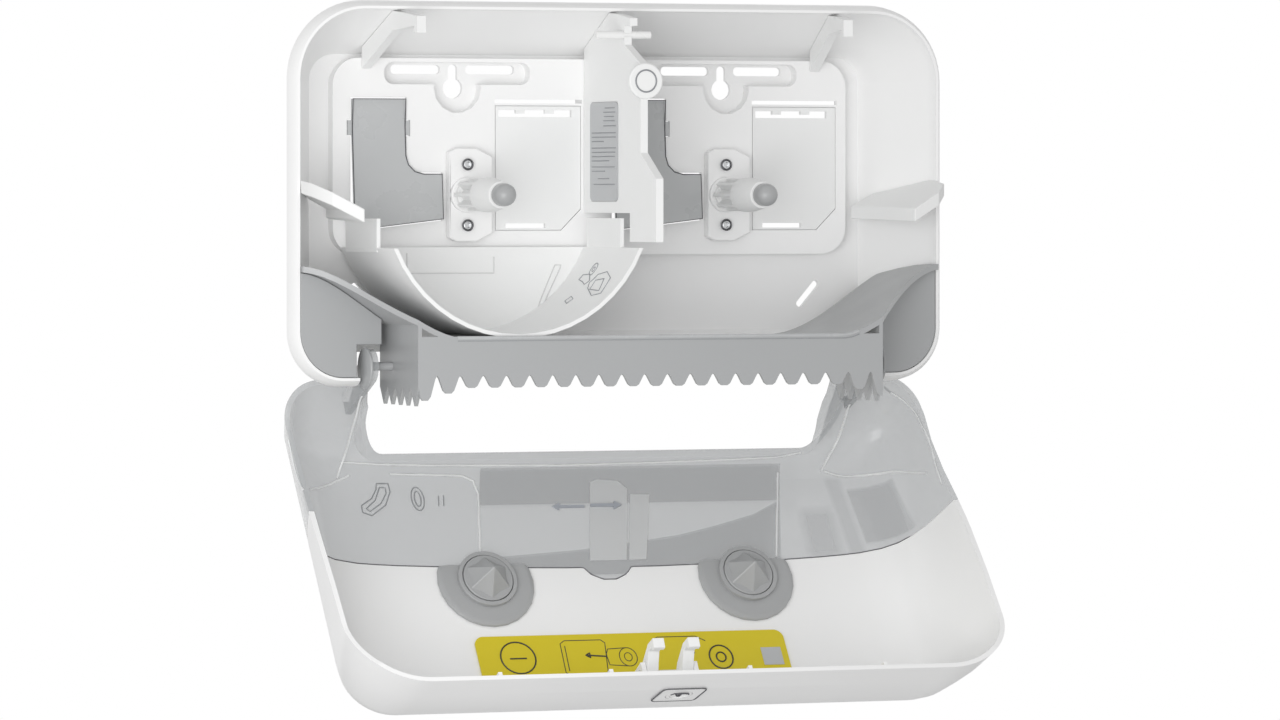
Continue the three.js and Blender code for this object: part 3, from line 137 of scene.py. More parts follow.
class Shading:
    """A material's node tree while it is put together."""

    def __init__(self, name: str) -> None:
        """Starts a material that holds only a principled shader and its output.

        Args:
            name: the material's name.
        """
        self.material = bpy.data.materials.new(name)
        self.material.use_nodes = True
        self.tree = self.material.node_tree
        self.tree.nodes.clear()
        self.shader = self.add("ShaderNodeBsdfPrincipled")
        output = self.add("ShaderNodeOutputMaterial")
        self.link(self.shader, "BSDF", output, "Surface")
        self.place = self.add("ShaderNodeTexCoord")

    def add(self, kind: str, **values: float) -> bpy.types.Node:
        """Adds a node.

        Args:
            kind: the node's type name.
            values: numbers for its inputs, by name with spaces as underscores.

        Returns:
            The node.
        """
        node = self.tree.nodes.new(kind)
        for key, value in values.items():
            node.inputs[key.replace("_", " ")].default_value = value
        return node

    def link(self, source: bpy.types.Node, output: str, target: bpy.types.Node, socket: str) -> None:
        """Joins one node's output to another's input."""
        self.tree.links.new(source.outputs[output], target.inputs[socket])

    def math(self, operation: str, *values: bpy.types.NodeSocket | float) -> bpy.types.NodeSocket:
        """Adds a math node.

        Args:
            operation: the node's operation.
            values: its inputs, as sockets or numbers.

        Returns:
            The result's socket.
        """
        node = self.tree.nodes.new("ShaderNodeMath")
        node.operation = operation
        for socket, value in zip(node.inputs, values):
            if isinstance(value, bpy.types.NodeSocket):
                self.tree.links.new(value, socket)
            else:
                socket.default_value = value
        return node.outputs["Value"]

    def past(
        self, value: bpy.types.NodeSocket, edge: bpy.types.NodeSocket | float, soft: float = 0.5 * MM,
    ) -> bpy.types.NodeSocket:
        """Tells on which side of an edge a value lies.

        Args:
            value: the value.
            edge: where the step is.
            soft: width of the step.

        Returns:
            A socket that is 1 past the edge and 0 before it.
        """
        steep = self.math("MULTIPLY", self.math("SUBTRACT", value, edge), 1.0 / soft)
        return self.math("MINIMUM", self.math("MAXIMUM", steep, 0.0), 1.0)

    def noise(self, waves: Waves) -> bpy.types.Node:
        """Adds a noise in object space.

        Args:
            waves: how fine it is.

        Returns:
            The noise node.
        """
        node = self.add("ShaderNodeTexNoise", Scale=waves.scale, Detail=waves.octaves)
        self.link(self.place, "Object", node, "Vector")
        return node

    def gloss(self, source: bpy.types.Node, roughness: float, shares: Spot) -> None:
        """Lets the shader's roughness follow a noise.

        Args:
            source: the noise.
            roughness: the roughness.
            shares: shares of it at the noise's low and high end.
        """
        low, high = (roughness * share for share in shares)
        node = self.add(
            "ShaderNodeMapRange", From_Min=NOISE_LOW, From_Max=NOISE_HIGH, To_Min=low, To_Max=high,
        )
        self.link(source, "Fac", node, "Value")
        self.link(node, "Result", self.shader, "Roughness")

    def tint(self, source: bpy.types.Node, colour: Colour, share: float) -> None:
        """Lets the shader's colour follow a noise.

        Args:
            source: the noise.
            colour: the colour at the noise's high end.
            share: share of its light at the low end.
        """
        ramp = self.add("ShaderNodeValToRGB")
        low = tuple(c * share for c in colour)
        for stop, position, shown in zip(ramp.color_ramp.elements, (NOISE_LOW, NOISE_HIGH), (low, colour)):
            stop.position = position
            stop.color = (*shown, 1.0)
        self.link(source, "Fac", ramp, "Fac")
        self.link(ramp, "Color", self.shader, "Base Color")

    def emboss(self, source: bpy.types.Node, strength: float, height: float) -> None:
        """Turns a noise into fine relief on the shader.

        Args:
            source: the noise.
            strength: how much of the relief shows, 0 to 1.
            height: the relief's height in metres.
        """
        bump = self.add("ShaderNodeBump", Strength=strength, Distance=height)
        self.link(source, "Fac", bump, "Height")
        self.link(bump, "Normal", self.shader, "Normal")


@dataclass(frozen=True)
class Plastic:
    """A moulded plastic: its colour and gloss drift a little and its skin has a fine grain."""

    name: str
    slot: Slot
    colour: Colour
    roughness: float
    clouds: Waves = Waves(9.0, 3.0)
    dark_share: float = 0.97
    streaks: Waves = Waves(55.0, 4.0)
    rough_shares: Spot = (0.88, 1.12)
    grain: float = 0.12
    grains: Waves = Waves(1400.0, 2.0)
    grain_height: float = 0.06 * MM
    coat: float = 0.0
    coat_roughness: float = 0.12
    alpha: float = 1.0

    def build(self) -> bpy.types.Material:
        """Makes the material.

        Returns:
            The material.
        """
        shading = Shading(self.name)
        shader = shading.shader
        shading.tint(shading.noise(self.clouds), self.colour, self.dark_share)
        shading.gloss(shading.noise(self.streaks), self.roughness, self.rough_shares)
        shading.emboss(shading.noise(self.grains), self.grain, self.grain_height)
        shader.inputs["Coat Weight"].default_value = self.coat
        shader.inputs["Coat Roughness"].default_value = self.coat_roughness
        shader.inputs["Alpha"].default_value = self.alpha
        return shading.material


@dataclass(frozen=True)
class Steel:
    """Turned or drawn steel with faint wear."""

    name: str
    colour: Colour
    roughness: float
    slot: Slot = Slot.STEEL
    marks: Waves = Waves(420.0, 4.0)
    dark_share: float = 0.86
    rough_shares: Spot = (0.8, 1.3)
    relief: float = 0.1
    relief_height: float = 0.04 * MM

    def build(self) -> bpy.types.Material:
        """Makes the material.

        Returns:
            The material.
        """
        shading = Shading(self.name)
        wear = shading.noise(self.marks)
        shading.tint(wear, self.colour, self.dark_share)
        shading.gloss(wear, self.roughness, self.rough_shares)
        shading.shader.inputs["Metallic"].default_value = 1.0
        shading.emboss(wear, self.relief, self.relief_height)
        return shading.material


class PaintedShadeField(NamedTuple):
    """A field of painted shade on the window: edges and softness in millimetres, lean and strength as shares.
    """

    x_low: float
    x_high: float
    z_low: float
    z_high: float
    lean: float
    soft: float
    strength: float = 1.0


@dataclass(frozen=True)
class SmokedWindow:
    """Clear grey plastic with fields of painted shade, one of them round a pale pointed wedge left unshaded.
    """

    name: str
    slot: Slot
    pale: Colour
    painted_shade: Colour
    roughness: float
    alpha: float
    streaks: Waves = Waves(60.0, 3.0)
    rough_shares: Spot = (0.8, 1.2)
    wedged_shade_field: PaintedShadeField = PaintedShadeField(-66.5, 101.5, -67.2, -4.0, 0.2, 0.5)
    plain_shade_fields: Sequence[PaintedShadeField] = (
        PaintedShadeField(141.0, 163.0, -52.0, -19.0, -0.1, 1.5, 0.75),
        PaintedShadeField(109.0, 127.0, -43.0, -15.0, 0.0, 6.0, 0.55),
        PaintedShadeField(130.0, 138.0, -60.0, -14.0, -0.1, 3.0, 0.45),
    )
    lean_height: float = -45.0 * MM
    wedge_top: float = -46.3 * MM
    wedge_floor: float = -50.0 * MM
    wedge_low_edge: Sequence[Spot] = (
        (-70.0, -14.5), (-10.0, -19.0), (24.0, -23.7), (45.0, -26.8), (65.0, -31.8), (86.0, -38.0),
        (101.0, -46.0),
    )

    def build(self) -> bpy.types.Material:
        """Makes the material.

        Returns:
            The material.
        """
        shading = Shading(self.name)
        turn = shading.add("ShaderNodeMapping")
        back = OPENED.inverted()
        turn.inputs["Location"].default_value = back.to_translation()
        turn.inputs["Rotation"].default_value = back.to_euler()
        shading.link(shading.place, "Object", turn, "Vector")
        split = shading.add("ShaderNodeSeparateXYZ")
        shading.link(turn, "Vector", split, "Vector")
        across, height = split.outputs["X"], split.outputs["Z"]
        # Painted shade: darker fields on the window, with a pale wedge left out of the first field.
        along, inside = self.inside(shading, self.wedged_shade_field, across, height)
        off_wedge = shading.math("SUBTRACT", 1.0, self.pale_wedge(shading, along, height))
        painted_shade = shading.math("MULTIPLY", inside, off_wedge)
        for area in self.plain_shade_fields:
            inside = self.inside(shading, area, across, height)[1]
            painted_shade = shading.math("MAXIMUM", painted_shade, shading.math("MULTIPLY", inside, area.strength))
        blend = shading.add("ShaderNodeMixRGB", Color1=(*self.pale, 1.0), Color2=(*self.painted_shade, 1.0))
        shading.tree.links.new(painted_shade, blend.inputs["Fac"])
        shading.link(blend, "Color", shading.shader, "Base Color")
        shading.gloss(shading.noise(self.streaks), self.roughness, self.rough_shares)
        shading.shader.inputs["Alpha"].default_value = self.alpha
        return shading.material

    def inside(
        self, shading: Shading, area: PaintedShadeField, across: bpy.types.NodeSocket, height: bpy.types.NodeSocket,
    ) -> tuple[bpy.types.NodeSocket, bpy.types.NodeSocket]:
        """Works out where a field of painted shade is.

        Args:
            shading: the material's tree.
            area: the field.
            across: place across the window.
            height: height on the window.

        Returns:
            The place along the window without the field's lean, and a socket that is 1 inside it.
        """
        along = shading.math("MULTIPLY_ADD", height, area.lean, across)
        along = shading.math("ADD", along, -self.lean_height * area.lean)
        soft = area.soft * MM
        found = shading.past(along, area.x_low * MM, soft)
        found = shading.math("MULTIPLY", found, shading.past(height, area.z_low * MM, soft))
        for value, edge in ((along, area.x_high), (height, area.z_high)):
            beyond = shading.past(value, edge * MM, soft)
            found = shading.math("MULTIPLY", found, shading.math("SUBTRACT", 1.0, beyond))
        return along, found

    def pale_wedge(
        self, shading: Shading, along: bpy.types.NodeSocket, height: bpy.types.NodeSocket,
    ) -> bpy.types.NodeSocket:
        """Works out the pale wedge left out of the painted shade, from its straight upper edge and its curved
        lower one.

        Args:
            shading: the material's tree.
            along: place along the window.
            height: height on the window.

        Returns:
            A socket that is 1 on the pale wedge.
        """
        first, last = self.wedge_low_edge[0][0] * MM, self.wedge_low_edge[-1][0] * MM
        ramp = shading.add("ShaderNodeValToRGB")
        stops = ramp.color_ramp.elements
        for index, (x, z) in enumerate(self.wedge_low_edge):
            position = (x * MM - first) / (last - first)
            if index in (0, len(self.wedge_low_edge) - 1):
                stop = stops[0 if index == 0 else -1]
                stop.position = position
            else:
                stop = stops.new(position)
            stop.color = (*(3 * [z * MM / self.wedge_floor]), 1.0)
        share = shading.math("DIVIDE", shading.math("SUBTRACT", along, first), last - first)
        shading.tree.links.new(share, ramp.inputs["Fac"])
        low = shading.math("MULTIPLY", ramp.outputs["Color"], self.wedge_floor)
        above = shading.past(height, self.wedge_top)
        below = shading.math("SUBTRACT", 1.0, shading.past(height, low))
        return shading.math("MULTIPLY", above, below)


class Finish(Enum):
    """Every finish on the dispenser, with how it is made."""

    SHELL = Plastic("shell_white", Slot.WHITE, (0.92, 0.92, 0.917), 0.34, coat=0.15)
    INNER = Plastic("inner_white", Slot.WHITE, (0.93, 0.93, 0.928), 0.4)
    GUIDE = Plastic("guide_white", Slot.GUIDE, (0.93, 0.93, 0.925), 0.36)
    TRAY = Plastic("comb_grey", Slot.TRAY, (0.405, 0.413, 0.418), 0.34, coat=0.1)
    FLAP = Plastic("flap_grey", Slot.TRAY, (0.5, 0.51, 0.515), 0.28, coat=0.2)
    CAP = Plastic("turned_grey", Slot.CAP, (0.39, 0.396, 0.4), 0.32, coat=0.1)
    # Its second colour is painted shade for the window's darker fields.
    WINDOW = SmokedWindow(
        "smoked_window", Slot.WINDOW, (0.5, 0.515, 0.525), (0.225, 0.24, 0.25), 0.1, 0.5,
    )
    # A pale film painted on the window as a reflection.
    FROSTED = Plastic("window_painted_reflection", Slot.WINDOW, (0.74, 0.75, 0.755), 0.2, grain=0.05, alpha=0.7)
    # Bright beads: clear ridges, and painted highlights along the window's rims and lip.
    CLEAR_RIB = Plastic("clear_rib_and_highlight", Slot.WINDOW, (0.82, 0.83, 0.83), 0.15, grain=0.02)
    WINDOW_ARROW = Plastic("window_arrow_print", Slot.WINDOW, (0.4, 0.42, 0.46), 0.3, grain=0.02)
    WINDOW_LINE = Plastic("window_line", Slot.WINDOW, (0.33, 0.34, 0.35), 0.25, grain=0.03)
    STEEL = Steel("turned_steel", (0.62, 0.63, 0.64), 0.3)
    DARK_STEEL = Steel("shaded_steel", (0.2, 0.2, 0.21), 0.4)
    LACQUER = Plastic("lacquered_steel", Slot.STEEL, (0.9, 0.9, 0.895), 0.3)
    PENCIL = Plastic("printed_grey", Slot.GUIDE, (0.3, 0.31, 0.33), 0.5, grain=0.02)
    # Dark lines: real seams at the window's parting and the lock plate, and painted shade at the lock's dish
    # and in the flaps' gaps.
    SEAM = Plastic("seam_shade", Slot.WHITE, (0.09, 0.09, 0.1), 0.5, grain=0.02)
    FAINT = Plastic("faint_moulding", Slot.WHITE, (0.72, 0.72, 0.72), 0.4, grain=0.02)
    LABEL = Plastic("mustard_label", Slot.LABEL, (0.7, 0.57, 0.012), 0.45, grain=0.05)
    INK = Plastic("dark_ink", Slot.LABEL, (0.05, 0.05, 0.04), 0.5, grain=0.02)
    PLATE = Plastic("plate_grey", Slot.GUIDE, (0.5, 0.51, 0.52), 0.4, grain=0.03)

    def material(self) -> bpy.types.Material:
        """Gives the finish's material, made once, or the CAD model's own material of that name."""
        found = bpy.data.materials.get(self.value.name)
        return found or self.value.build()


def dress(piece: bpy.types.Object, finish: Finish) -> None:
    """Puts a finish on a piece.

    Args:
        piece: the piece.
        finish: its finish.
    """
    piece.data.materials.clear()
    piece.data.materials.append(finish.material())


def shade(shape: bmesh.types.BMesh, sharp_angle: float) -> None:
    """Smooths a shape's shading, apart from edges sharper than an angle.

    Args:
        shape: the shape.
        sharp_angle: the angle in radians.
    """
    for face in shape.faces:
        face.smooth = True
    for edge in shape.edges:
        edge.smooth = len(edge.link_faces) == 2 and edge.calc_face_angle(0.0) < sharp_angle


def object_from(shape: bmesh.types.BMesh, name: str) -> bpy.types.Object:
    """Makes an object of a shape.

    Args:
        shape: the shape, in place, which is freed.
        name: the object's name.

    Returns:
        The object.
    """
    mesh = bpy.data.meshes.new(name)
    shape.to_mesh(mesh)
    shape.free()
    made = bpy.data.objects.new(name, mesh)
    bpy.context.scene.collection.objects.link(made)
    return made


def piece_from(shape: bmesh.types.BMesh, name: str, finish: Finish, body: Body | str) -> bpy.types.Object:
    """Makes a piece of a shape and lets it ride on a body.

    Args:
        shape: the shape, in place, which is freed.
        name: the piece's name.
        finish: its finish.
        body: the body that it rides on.

    Returns:
        The piece.
    """
    piece = object_from(shape, name)
    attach(piece, body.value if isinstance(body, Body) else body)
    dress(piece, finish)
    return piece


@dataclass
class Moulding:
    """A CAD node carried over with welded faces, smooth curves and softened edges."""

    node: str
    finish: Finish
    edge: float = 0.4 * MM
    sharp_angle: float = math.radians(34)
    flat_angle: float = math.radians(0.4)
    segments: int = 2
    least_edge: float = 0.02 * MM
    least_run_share: float = 2.4

    def weigh(self, shape: bmesh.types.BMesh) -> None:
        """Marks the sharp edges that are long enough to be rounded.

        Args:
            shape: the shape.
        """
        weights = shape.edges.layers.float.new("bevel_weight_edge")
        for edge in shape.edges:
            if edge.smooth or not edge.is_convex:
                continue
            if edge.calc_length() > self.least_run_share * self.edge:
                edge[weights] = 1.0

    def build(self) -> bpy.types.Object:
        """Makes the softened copy, which stands for the node.

        Returns:
            The piece.
        """
        source = frame["nodes"][self.node]
        shape = bmesh.new()
        shape.from_mesh(source.data)
        bmesh.ops.remove_doubles(shape, verts=shape.verts, dist=WELD)
        bmesh.ops.dissolve_limit(shape, angle_limit=self.flat_angle, verts=shape.verts, edges=shape.edges)
        bmesh.ops.dissolve_degenerate(shape, dist=self.least_edge, edges=shape.edges)
        shade(shape, self.sharp_angle)
        self.weigh(shape)
        piece = piece_from(shape, f"{self.node}_moulded", self.finish, source["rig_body"])
        if self.edge:
            bevel = piece.modifiers.new("soft_edges", "BEVEL")
            bevel.width = self.edge
            bevel.segments = self.segments
            bevel.limit_method = "WEIGHT"
            bevel.use_clamp_overlap = True
        normals = piece.modifiers.new("even_normals", "WEIGHTED_NORMAL")
        normals.keep_sharp = True
        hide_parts(self.node)
        return piece


class Ground:
    """A CAD node's surface in a given turn, for laying small things on."""

    def __init__(self, node: str, turn: Matrix) -> None:
        """Takes the surface.

        Args:
            node: the CAD node.
            turn: what turns the drawing's frame into the node's place at rest.
        """
        mesh = frame["nodes"][node].data
        back = turn.inverted()
        corners = [back @ vertex.co for vertex in mesh.vertices]
        self.tree = BVHTree.FromPolygons(corners, [tuple(face.vertices) for face in mesh.polygons])

    def under(self, place: Vector, way: Vector) -> Vector | None:
        """Finds the surface from a place.

        Args:
            place: where the search starts.
            way: the direction in which it looks.

        Returns:
            The first place on the surface, or nothing.
        """
        return self.tree.ray_cast(place, way)[0]

    def near(self, place: Vector) -> Vector:
        """Finds the place on the surface that is nearest to another."""
        return self.tree.find_nearest(place)[0]

    def inside_cover(self, x: float, z: float) -> Vector | None:
        """Finds the closed cover's inner skin at X and Z in millimetres."""
        return self.under(Vector((x, INSIDE_CLOSED_COVER, z)) * MM, TO_FRONT)


def last_place(on: float, off: float, holds: Callable[[float], bool]) -> float:
    """Closes in on the edge of the stretch where something holds.

    Args:
        on: a place where it holds.
        off: a place where it doesn't.
        holds: tells whether it holds at a place.

    Returns:
        The last place found where it holds.
    """
    for _ in range(HALVINGS):
        middle = (on + off) / 2
        if holds(middle):
            on = middle
        else:
            off = middle
    return on


def ring_of(middle: Spot, radius: float, count: int = 20, flat: float = 1.0) -> tuple[Spot, ...]:
    """Gives places round a circle or an oval.

    Args:
        middle: its middle.
        radius: its radius across.
        count: how many places.
        flat: its height as a share of its width.

    Returns:
        The places.
    """
    turns = [2 * math.pi * i / count for i in range(count)]
    return tuple((middle[0] + radius * math.cos(a), middle[1] + flat * radius * math.sin(a)) for a in turns)


def finer(stroke: Sequence[Sequence[float]], closed: bool, step: float = 2.5) -> list[tuple[float, ...]]:
    """Adds places along a stroke so that it can follow a curved surface.

    Args:
        stroke: its corners in millimetres.
        closed: whether it returns to its start.
        step: longest distance between places.

    Returns:
        The places.
    """
    corners = [*stroke, stroke[0]] if closed else list(stroke)
    places = []
    for start, end in zip(corners, corners[1:]):
        count = max(1, math.ceil(math.dist(start, end) / step))
        for i in range(count):
            share = i / count
            places.append(tuple(a + share * (b - a) for a, b in zip(start, end)))
    return places if closed else [*places, corners[-1]]


@dataclass
class Beads:
    """Thin round lines, such as moulded ridges, printed outlines and seams."""

    name: str
    finish: Finish
    body: Body
    radius: float
    turn: Matrix = field(default_factory=lambda: AS_PLACED.copy())
    lines: list[tuple[list[Vector], bool]] = field(default_factory=list)
    longest_draw: float = 2.2 * MM
    smoothings: int = 4

    def add(self, places: Iterable[Sequence[float]], closed: bool = False) -> None:
        """Adds a line.

        Args:
            places: its places in the drawing's frame, in metres.
            closed: whether it returns to its start.
        """
        self.lines.append(([Vector(place) for place in places], closed))

    def lay(self, ground: Ground, stroke: Sequence[Spot], closed: bool = False) -> None:
        """Adds a line that lies on the inside of the cover.

        Args:
            ground: the surface.
            stroke: the line's X and Z in millimetres.
            closed: whether it returns to its start.
        """
        found = [ground.inside_cover(x, z) for x, z in finer(stroke, closed)]
        self.add([place for place in found if place], closed)

    def follow(self, ground: Ground, stroke: Sequence[Place]) -> None:
        """Adds a line between places in space, each drawn to the nearest surface.

        Args:
            ground: the surface.
            stroke: the line's corners in millimetres.
        """
        straight = [Vector(place) * MM for place in finer(stroke, False)]
        drawn = [ground.near(place) for place in straight]
        places = [a if (a - b).length < self.longest_draw else b for a, b in zip(drawn, straight)]
        for _ in range(self.smoothings):
            middle = [(a + 2 * b + c) / 4 for a, b, c in zip(places, places[1:], places[2:])]
            places = [places[0], *middle, places[-1]]
        self.add(places)

    def build(self) -> bpy.types.Object:
        """Makes the lines as one piece.

        Returns:
            The piece.
        """
        curve = bpy.data.curves.new(self.name, "CURVE")
        curve.dimensions = "3D"
        curve.bevel_depth = self.radius
        curve.bevel_resolution = 1
        curve.use_fill_caps = True
        for places, closed in self.lines:
            spline = curve.splines.new("POLY")
            spline.points.add(len(places) - 1)
            for point, place in zip(spline.points, places):
                point.co = (*place, 1.0)
            spline.use_cyclic_u = closed
        holder = bpy.data.objects.new(self.name, curve)
        mesh = bpy.data.meshes.new_from_object(holder)
        bpy.data.objects.remove(holder)
        shape = bmesh.new()
        shape.from_mesh(mesh)
        bpy.data.meshes.remove(mesh)
        bmesh.ops.transform(shape, matrix=self.turn, verts=shape.verts)
        bmesh.ops.recalc_face_normals(shape, faces=shape.faces)
        shade(shape, LINE_SHARP_ANGLE)
        return piece_from(shape, self.name, self.finish, self.body)


def film(
    name: str, outline: Sequence[Place], thick: Place, finish: Finish, body: Body, turn: Matrix = AS_PLACED,
) -> bpy.types.Object:
    """Makes a thin flat piece from its outline.

    Args:
        name: its name.
        outline: its corners in metres.
        thick: the direction and depth of its thickness.
        finish: its finish.
        body: the body that it rides on.
        turn: turns it to its place at rest.

    Returns:
        The piece.
    """
    shape = bmesh.new()
    corners = [shape.verts.new(place) for place in outline]
    sides = [shape.edges.new(ends) for ends in zip(corners, [*corners[1:], corners[0]])]
    base = bmesh.ops.contextual_create(shape, geom=sides)["faces"]
    grown = bmesh.ops.extrude_face_region(shape, geom=base)["geom"]
    raised = [item for item in grown if isinstance(item, bmesh.types.BMVert)]
    bmesh.ops.translate(shape, verts=raised, vec=thick)
    bmesh.ops.transform(shape, matrix=turn, verts=shape.verts)
    bmesh.ops.recalc_face_normals(shape, faces=shape.faces)
    shade(shape, THIN_SHARP_ANGLE)
    return piece_from(shape, name, finish, body)


@dataclass
class WindowMarks:
    """What the window carries on its inside: outlines, two pale bars of painted reflection, arrows, clear
    ridges and bright lines of painted highlight along its rims and lip.
    """

    line: float = 0.35 * MM
    parting_share: float = 0.8
    ridge: float = 0.55 * MM
    reflection_bar_rise: float = 0.5 * MM
    arrow_rises: Spot = (0.7 * MM, 1.9 * MM)
    outlines: Strokes = (
        (True, (
            (-119.9, -59.6), (-113.6, -59.5), (-113.2, -54.9), (-117.1, -47.0), (-125.7, -41.0),
            (-130.3, -43.1), (-130.2, -47.1), (-123.9, -51.1), (-120.6, -56.4),
        )),
        (True, (
            (-118.6, -57.4), (-115.5, -57.2), (-115.6, -54.0), (-119.3, -48.2), (-126.0, -43.6),
            (-128.0, -45.2), (-122.2, -50.0),
        )),
        (True, ring_of((-99.0, -50.4), 3.4, flat=2.0)),
        (True, ring_of((-99.0, -50.4), 1.7, 16, 2.6)),
        (False, ((-87.4, -52.0), (-88.2, -46.2))),
        (False, ((-84.6, -52.0), (-85.4, -46.2))),
    )
    arrows: Sequence[Sequence[Spot]] = (
        ((-26.3, -44.3), (-22.0, -46.6), (-22.2, -45.0), (-8.5, -44.8), (-8.5, -43.4), (-22.4, -43.4),
         (-22.9, -42.0)),
        ((11.7, -43.9), (8.0, -46.3), (7.8, -44.8), (-5.3, -44.8), (-5.3, -43.4), (7.4, -43.3), (7.1, -41.6)),
    )
    # Two pale slanted bars: painted reflection on the window's inside.
    bars: Sequence[Sequence[Spot]] = (
        ((-2.5, -58.3), (1.5, -59.6), (13.0, -58.6), (17.2, -54.0), (8.4, -12.0), (-11.9, -12.0)),
        ((18.4, -50.8), (28.9, -50.4), (19.3, -12.0), (9.8, -12.0)),
    )
    ridges: Sequence[Sequence[Spot]] = (
        ((-112.0, -64.6), (-85.4, -63.6), (-72.6, -63.0), (-67.0, -60.2), (-65.4, -52.7), (-68.8, -31.6),
         (-72.0, -12.0)),
        ((104.0, -62.0), (100.6, -46.1), (92.4, -12.0)),
    )
    # Bright lines along the ears' rims and the opening's lip: painted highlights where the clear walls' edges
    # catch the light.
    rims: Sequence[Sequence[Place]] = (
        ((-177.0, -89.1, -64.0), (-176.1, -91.4, -47.7), (-177.8, -81.9, -30.3)),
        ((-138.9, -74.5, -80.8), (-136.4, -119.7, -72.9), (-140.9, -125.8, -62.8)),
        ((-158.9, -120.5, -53.2), (-148.0, -125.2, -57.9), (-134.3, -125.7, -64.1)),
        ((-138.2, -124.1, -71.4), (-117.3, -124.7, -69.8), (-83.9, -124.7, -68.7), (-17.8, -124.7, -67.8),
         (27.0, -124.7, -68.4), (79.0, -124.7, -69.6), (105.3, -124.7, -70.5), (118.1, -122.6, -72.0)),
        ((160.7, -93.9, -93.8), (175.0, -91.1, -75.9), (175.5, -87.4, -55.2), (174.7, -84.0, -28.8)),
        ((138.2, -92.8, -82.9), (138.9, -117.9, -76.6), (128.8, -126.0, -62.5)),
        ((130.3, -126.0, -62.5), (138.8, -126.4, -59.1), (154.6, -123.0, -58.2), (164.1, -114.9, -55.3),
         (172.6, -93.5, -41.0)),
    )
    edge_x: tuple[int, int, int] = (-156, 166, 2)
    edge_z: Spot = (-24.0, 25.0)

    def build(self) -> None:
        """Makes the marks."""
        ground = Ground("cover_window", OPENED)
        outlines = Beads("window_outlines", Finish.WINDOW_LINE, Body.COVER, self.line, OPENED)
        for closed, stroke in self.outlines:
            outlines.lay(ground, stroke, closed)
        outlines.build()
        ridges = Beads("window_ridges_and_highlights", Finish.CLEAR_RIB, Body.COVER, self.ridge, OPENED)
        for stroke in self.ridges:
            ridges.lay(ground, stroke)
        # The rims' lines are painted highlights on the window's edges.
        for stroke in self.rims:
            ridges.follow(ground, stroke)
        ridges.build()
        parting_line = self.line * self.parting_share
        parting = Beads("window_parting_line", Finish.SEAM, Body.COVER, parting_line, OPENED)
        parting.add([self.edge_at(ground, x) for x in range(*self.edge_x)])
        parting.build()
        # The bars are pale films of painted reflection.
        for number, outline in enumerate(self.bars, 1):
            places = [ground.inside_cover(x, z) for x, z in outline]
            rise = (0.0, self.reflection_bar_rise, 0.0)
            film(f"window_reflection_bar_{number}", places, rise, Finish.FROSTED, Body.COVER, OPENED)
        for number, (outline, up) in enumerate(zip(self.arrows, self.arrow_rises), 1):
            places = [ground.inside_cover(x, z) for x, z in outline]
            level = max(place.y for place in places)
            places = [Vector((place.x, level, place.z)) for place in places]
            film(f"window_arrow_{number}", places, (0.0, up, 0.0), Finish.WINDOW_ARROW, Body.COVER, OPENED)

    def edge_at(self, ground: Ground, x: float) -> Vector:
        """Finds the window's edge beside the white shell.

        Args:
            ground: the window's surface.
            x: where along the window, in millimetres.

        Returns:
            The last place on the window's inner skin.
        """
        height = last_place(*self.edge_z, lambda z: ground.inside_cover(x, z) is not None)
        return ground.inside_cover(x, height)


@dataclass
class LabelDrawing:
    """Plain outlines on the mustard label: a barred ring, a box, an arrow, two rolls and a pale patch."""

    line: float = 0.45 * MM
    fine: float = 0.24 * MM
    thick_strokes: Strokes = (
        (True, ring_of((-63.5, 45.0), 9.4, 28)),
        (False, ((-68.0, 45.4), (-59.0, 45.4))),
        (False, ((-15.5, 45.4), (-26.5, 44.4))),
        (True, ((-26.5, 44.4), (-24.2, 43.1), (-24.2, 45.9))),
        (False, ((33.5, 44.6), (28.5, 43.8))),
        (True, ring_of((47.5, 47.5), 6.4, 24, 1.1)),
        (True, ring_of((47.5, 47.5), 2.6, 16, 1.1)),
    )
    fine_strokes: Strokes = (
        (True, (
            (-39.0, 37.2), (-36.5, 35.4), (-16.5, 35.4), (-14.5, 37.2), (-16.5, 54.5), (-19.0, 56.5),
            (-37.0, 56.5), (-39.5, 54.5),
        )),
        (False, ((-36.8, 38.6), (-37.3, 53.5))),
        (True, ring_of((-3.5, 46.0), 4.8, flat=1.15)),
        (True, ring_of((-3.5, 46.0), 2.1, 14, 1.2)),
        (False, ((-4.0, 40.5), (-13.8, 41.0), (-15.2, 44.0), (-14.6, 50.5), (-4.0, 51.5))),
        (False, ((12.5, 45.0), (12.5, 36.0), (15.0, 34.6), (36.0, 34.6))),
        (False, ((36.0, 34.6), (41.0, 37.5))),
    )
    patch: Sequence[Spot] = ((70.5, 42.5), (81.5, 42.5), (81.5, 53.0), (70.5, 53.0))
    patch_thick: float = 0.25 * MM

    def build(self) -> None:
        """Makes the drawing."""
        ground = Ground("instruction_label", OPENED)
        for name, radius, strokes in (
            ("label_bold_lines", self.line, self.thick_strokes),
            ("label_fine_lines", self.fine, self.fine_strokes),
        ):
            beads = Beads(name, Finish.INK, Body.COVER, radius, OPENED)
            for closed, stroke in strokes:
                beads.lay(ground, stroke, closed)
            beads.build()
        places = [ground.inside_cover(x, z) for x, z in self.patch]
        film("label_pale_patch", places, (0.0, self.patch_thick, 0.0), Finish.PLATE, Body.COVER, OPENED)


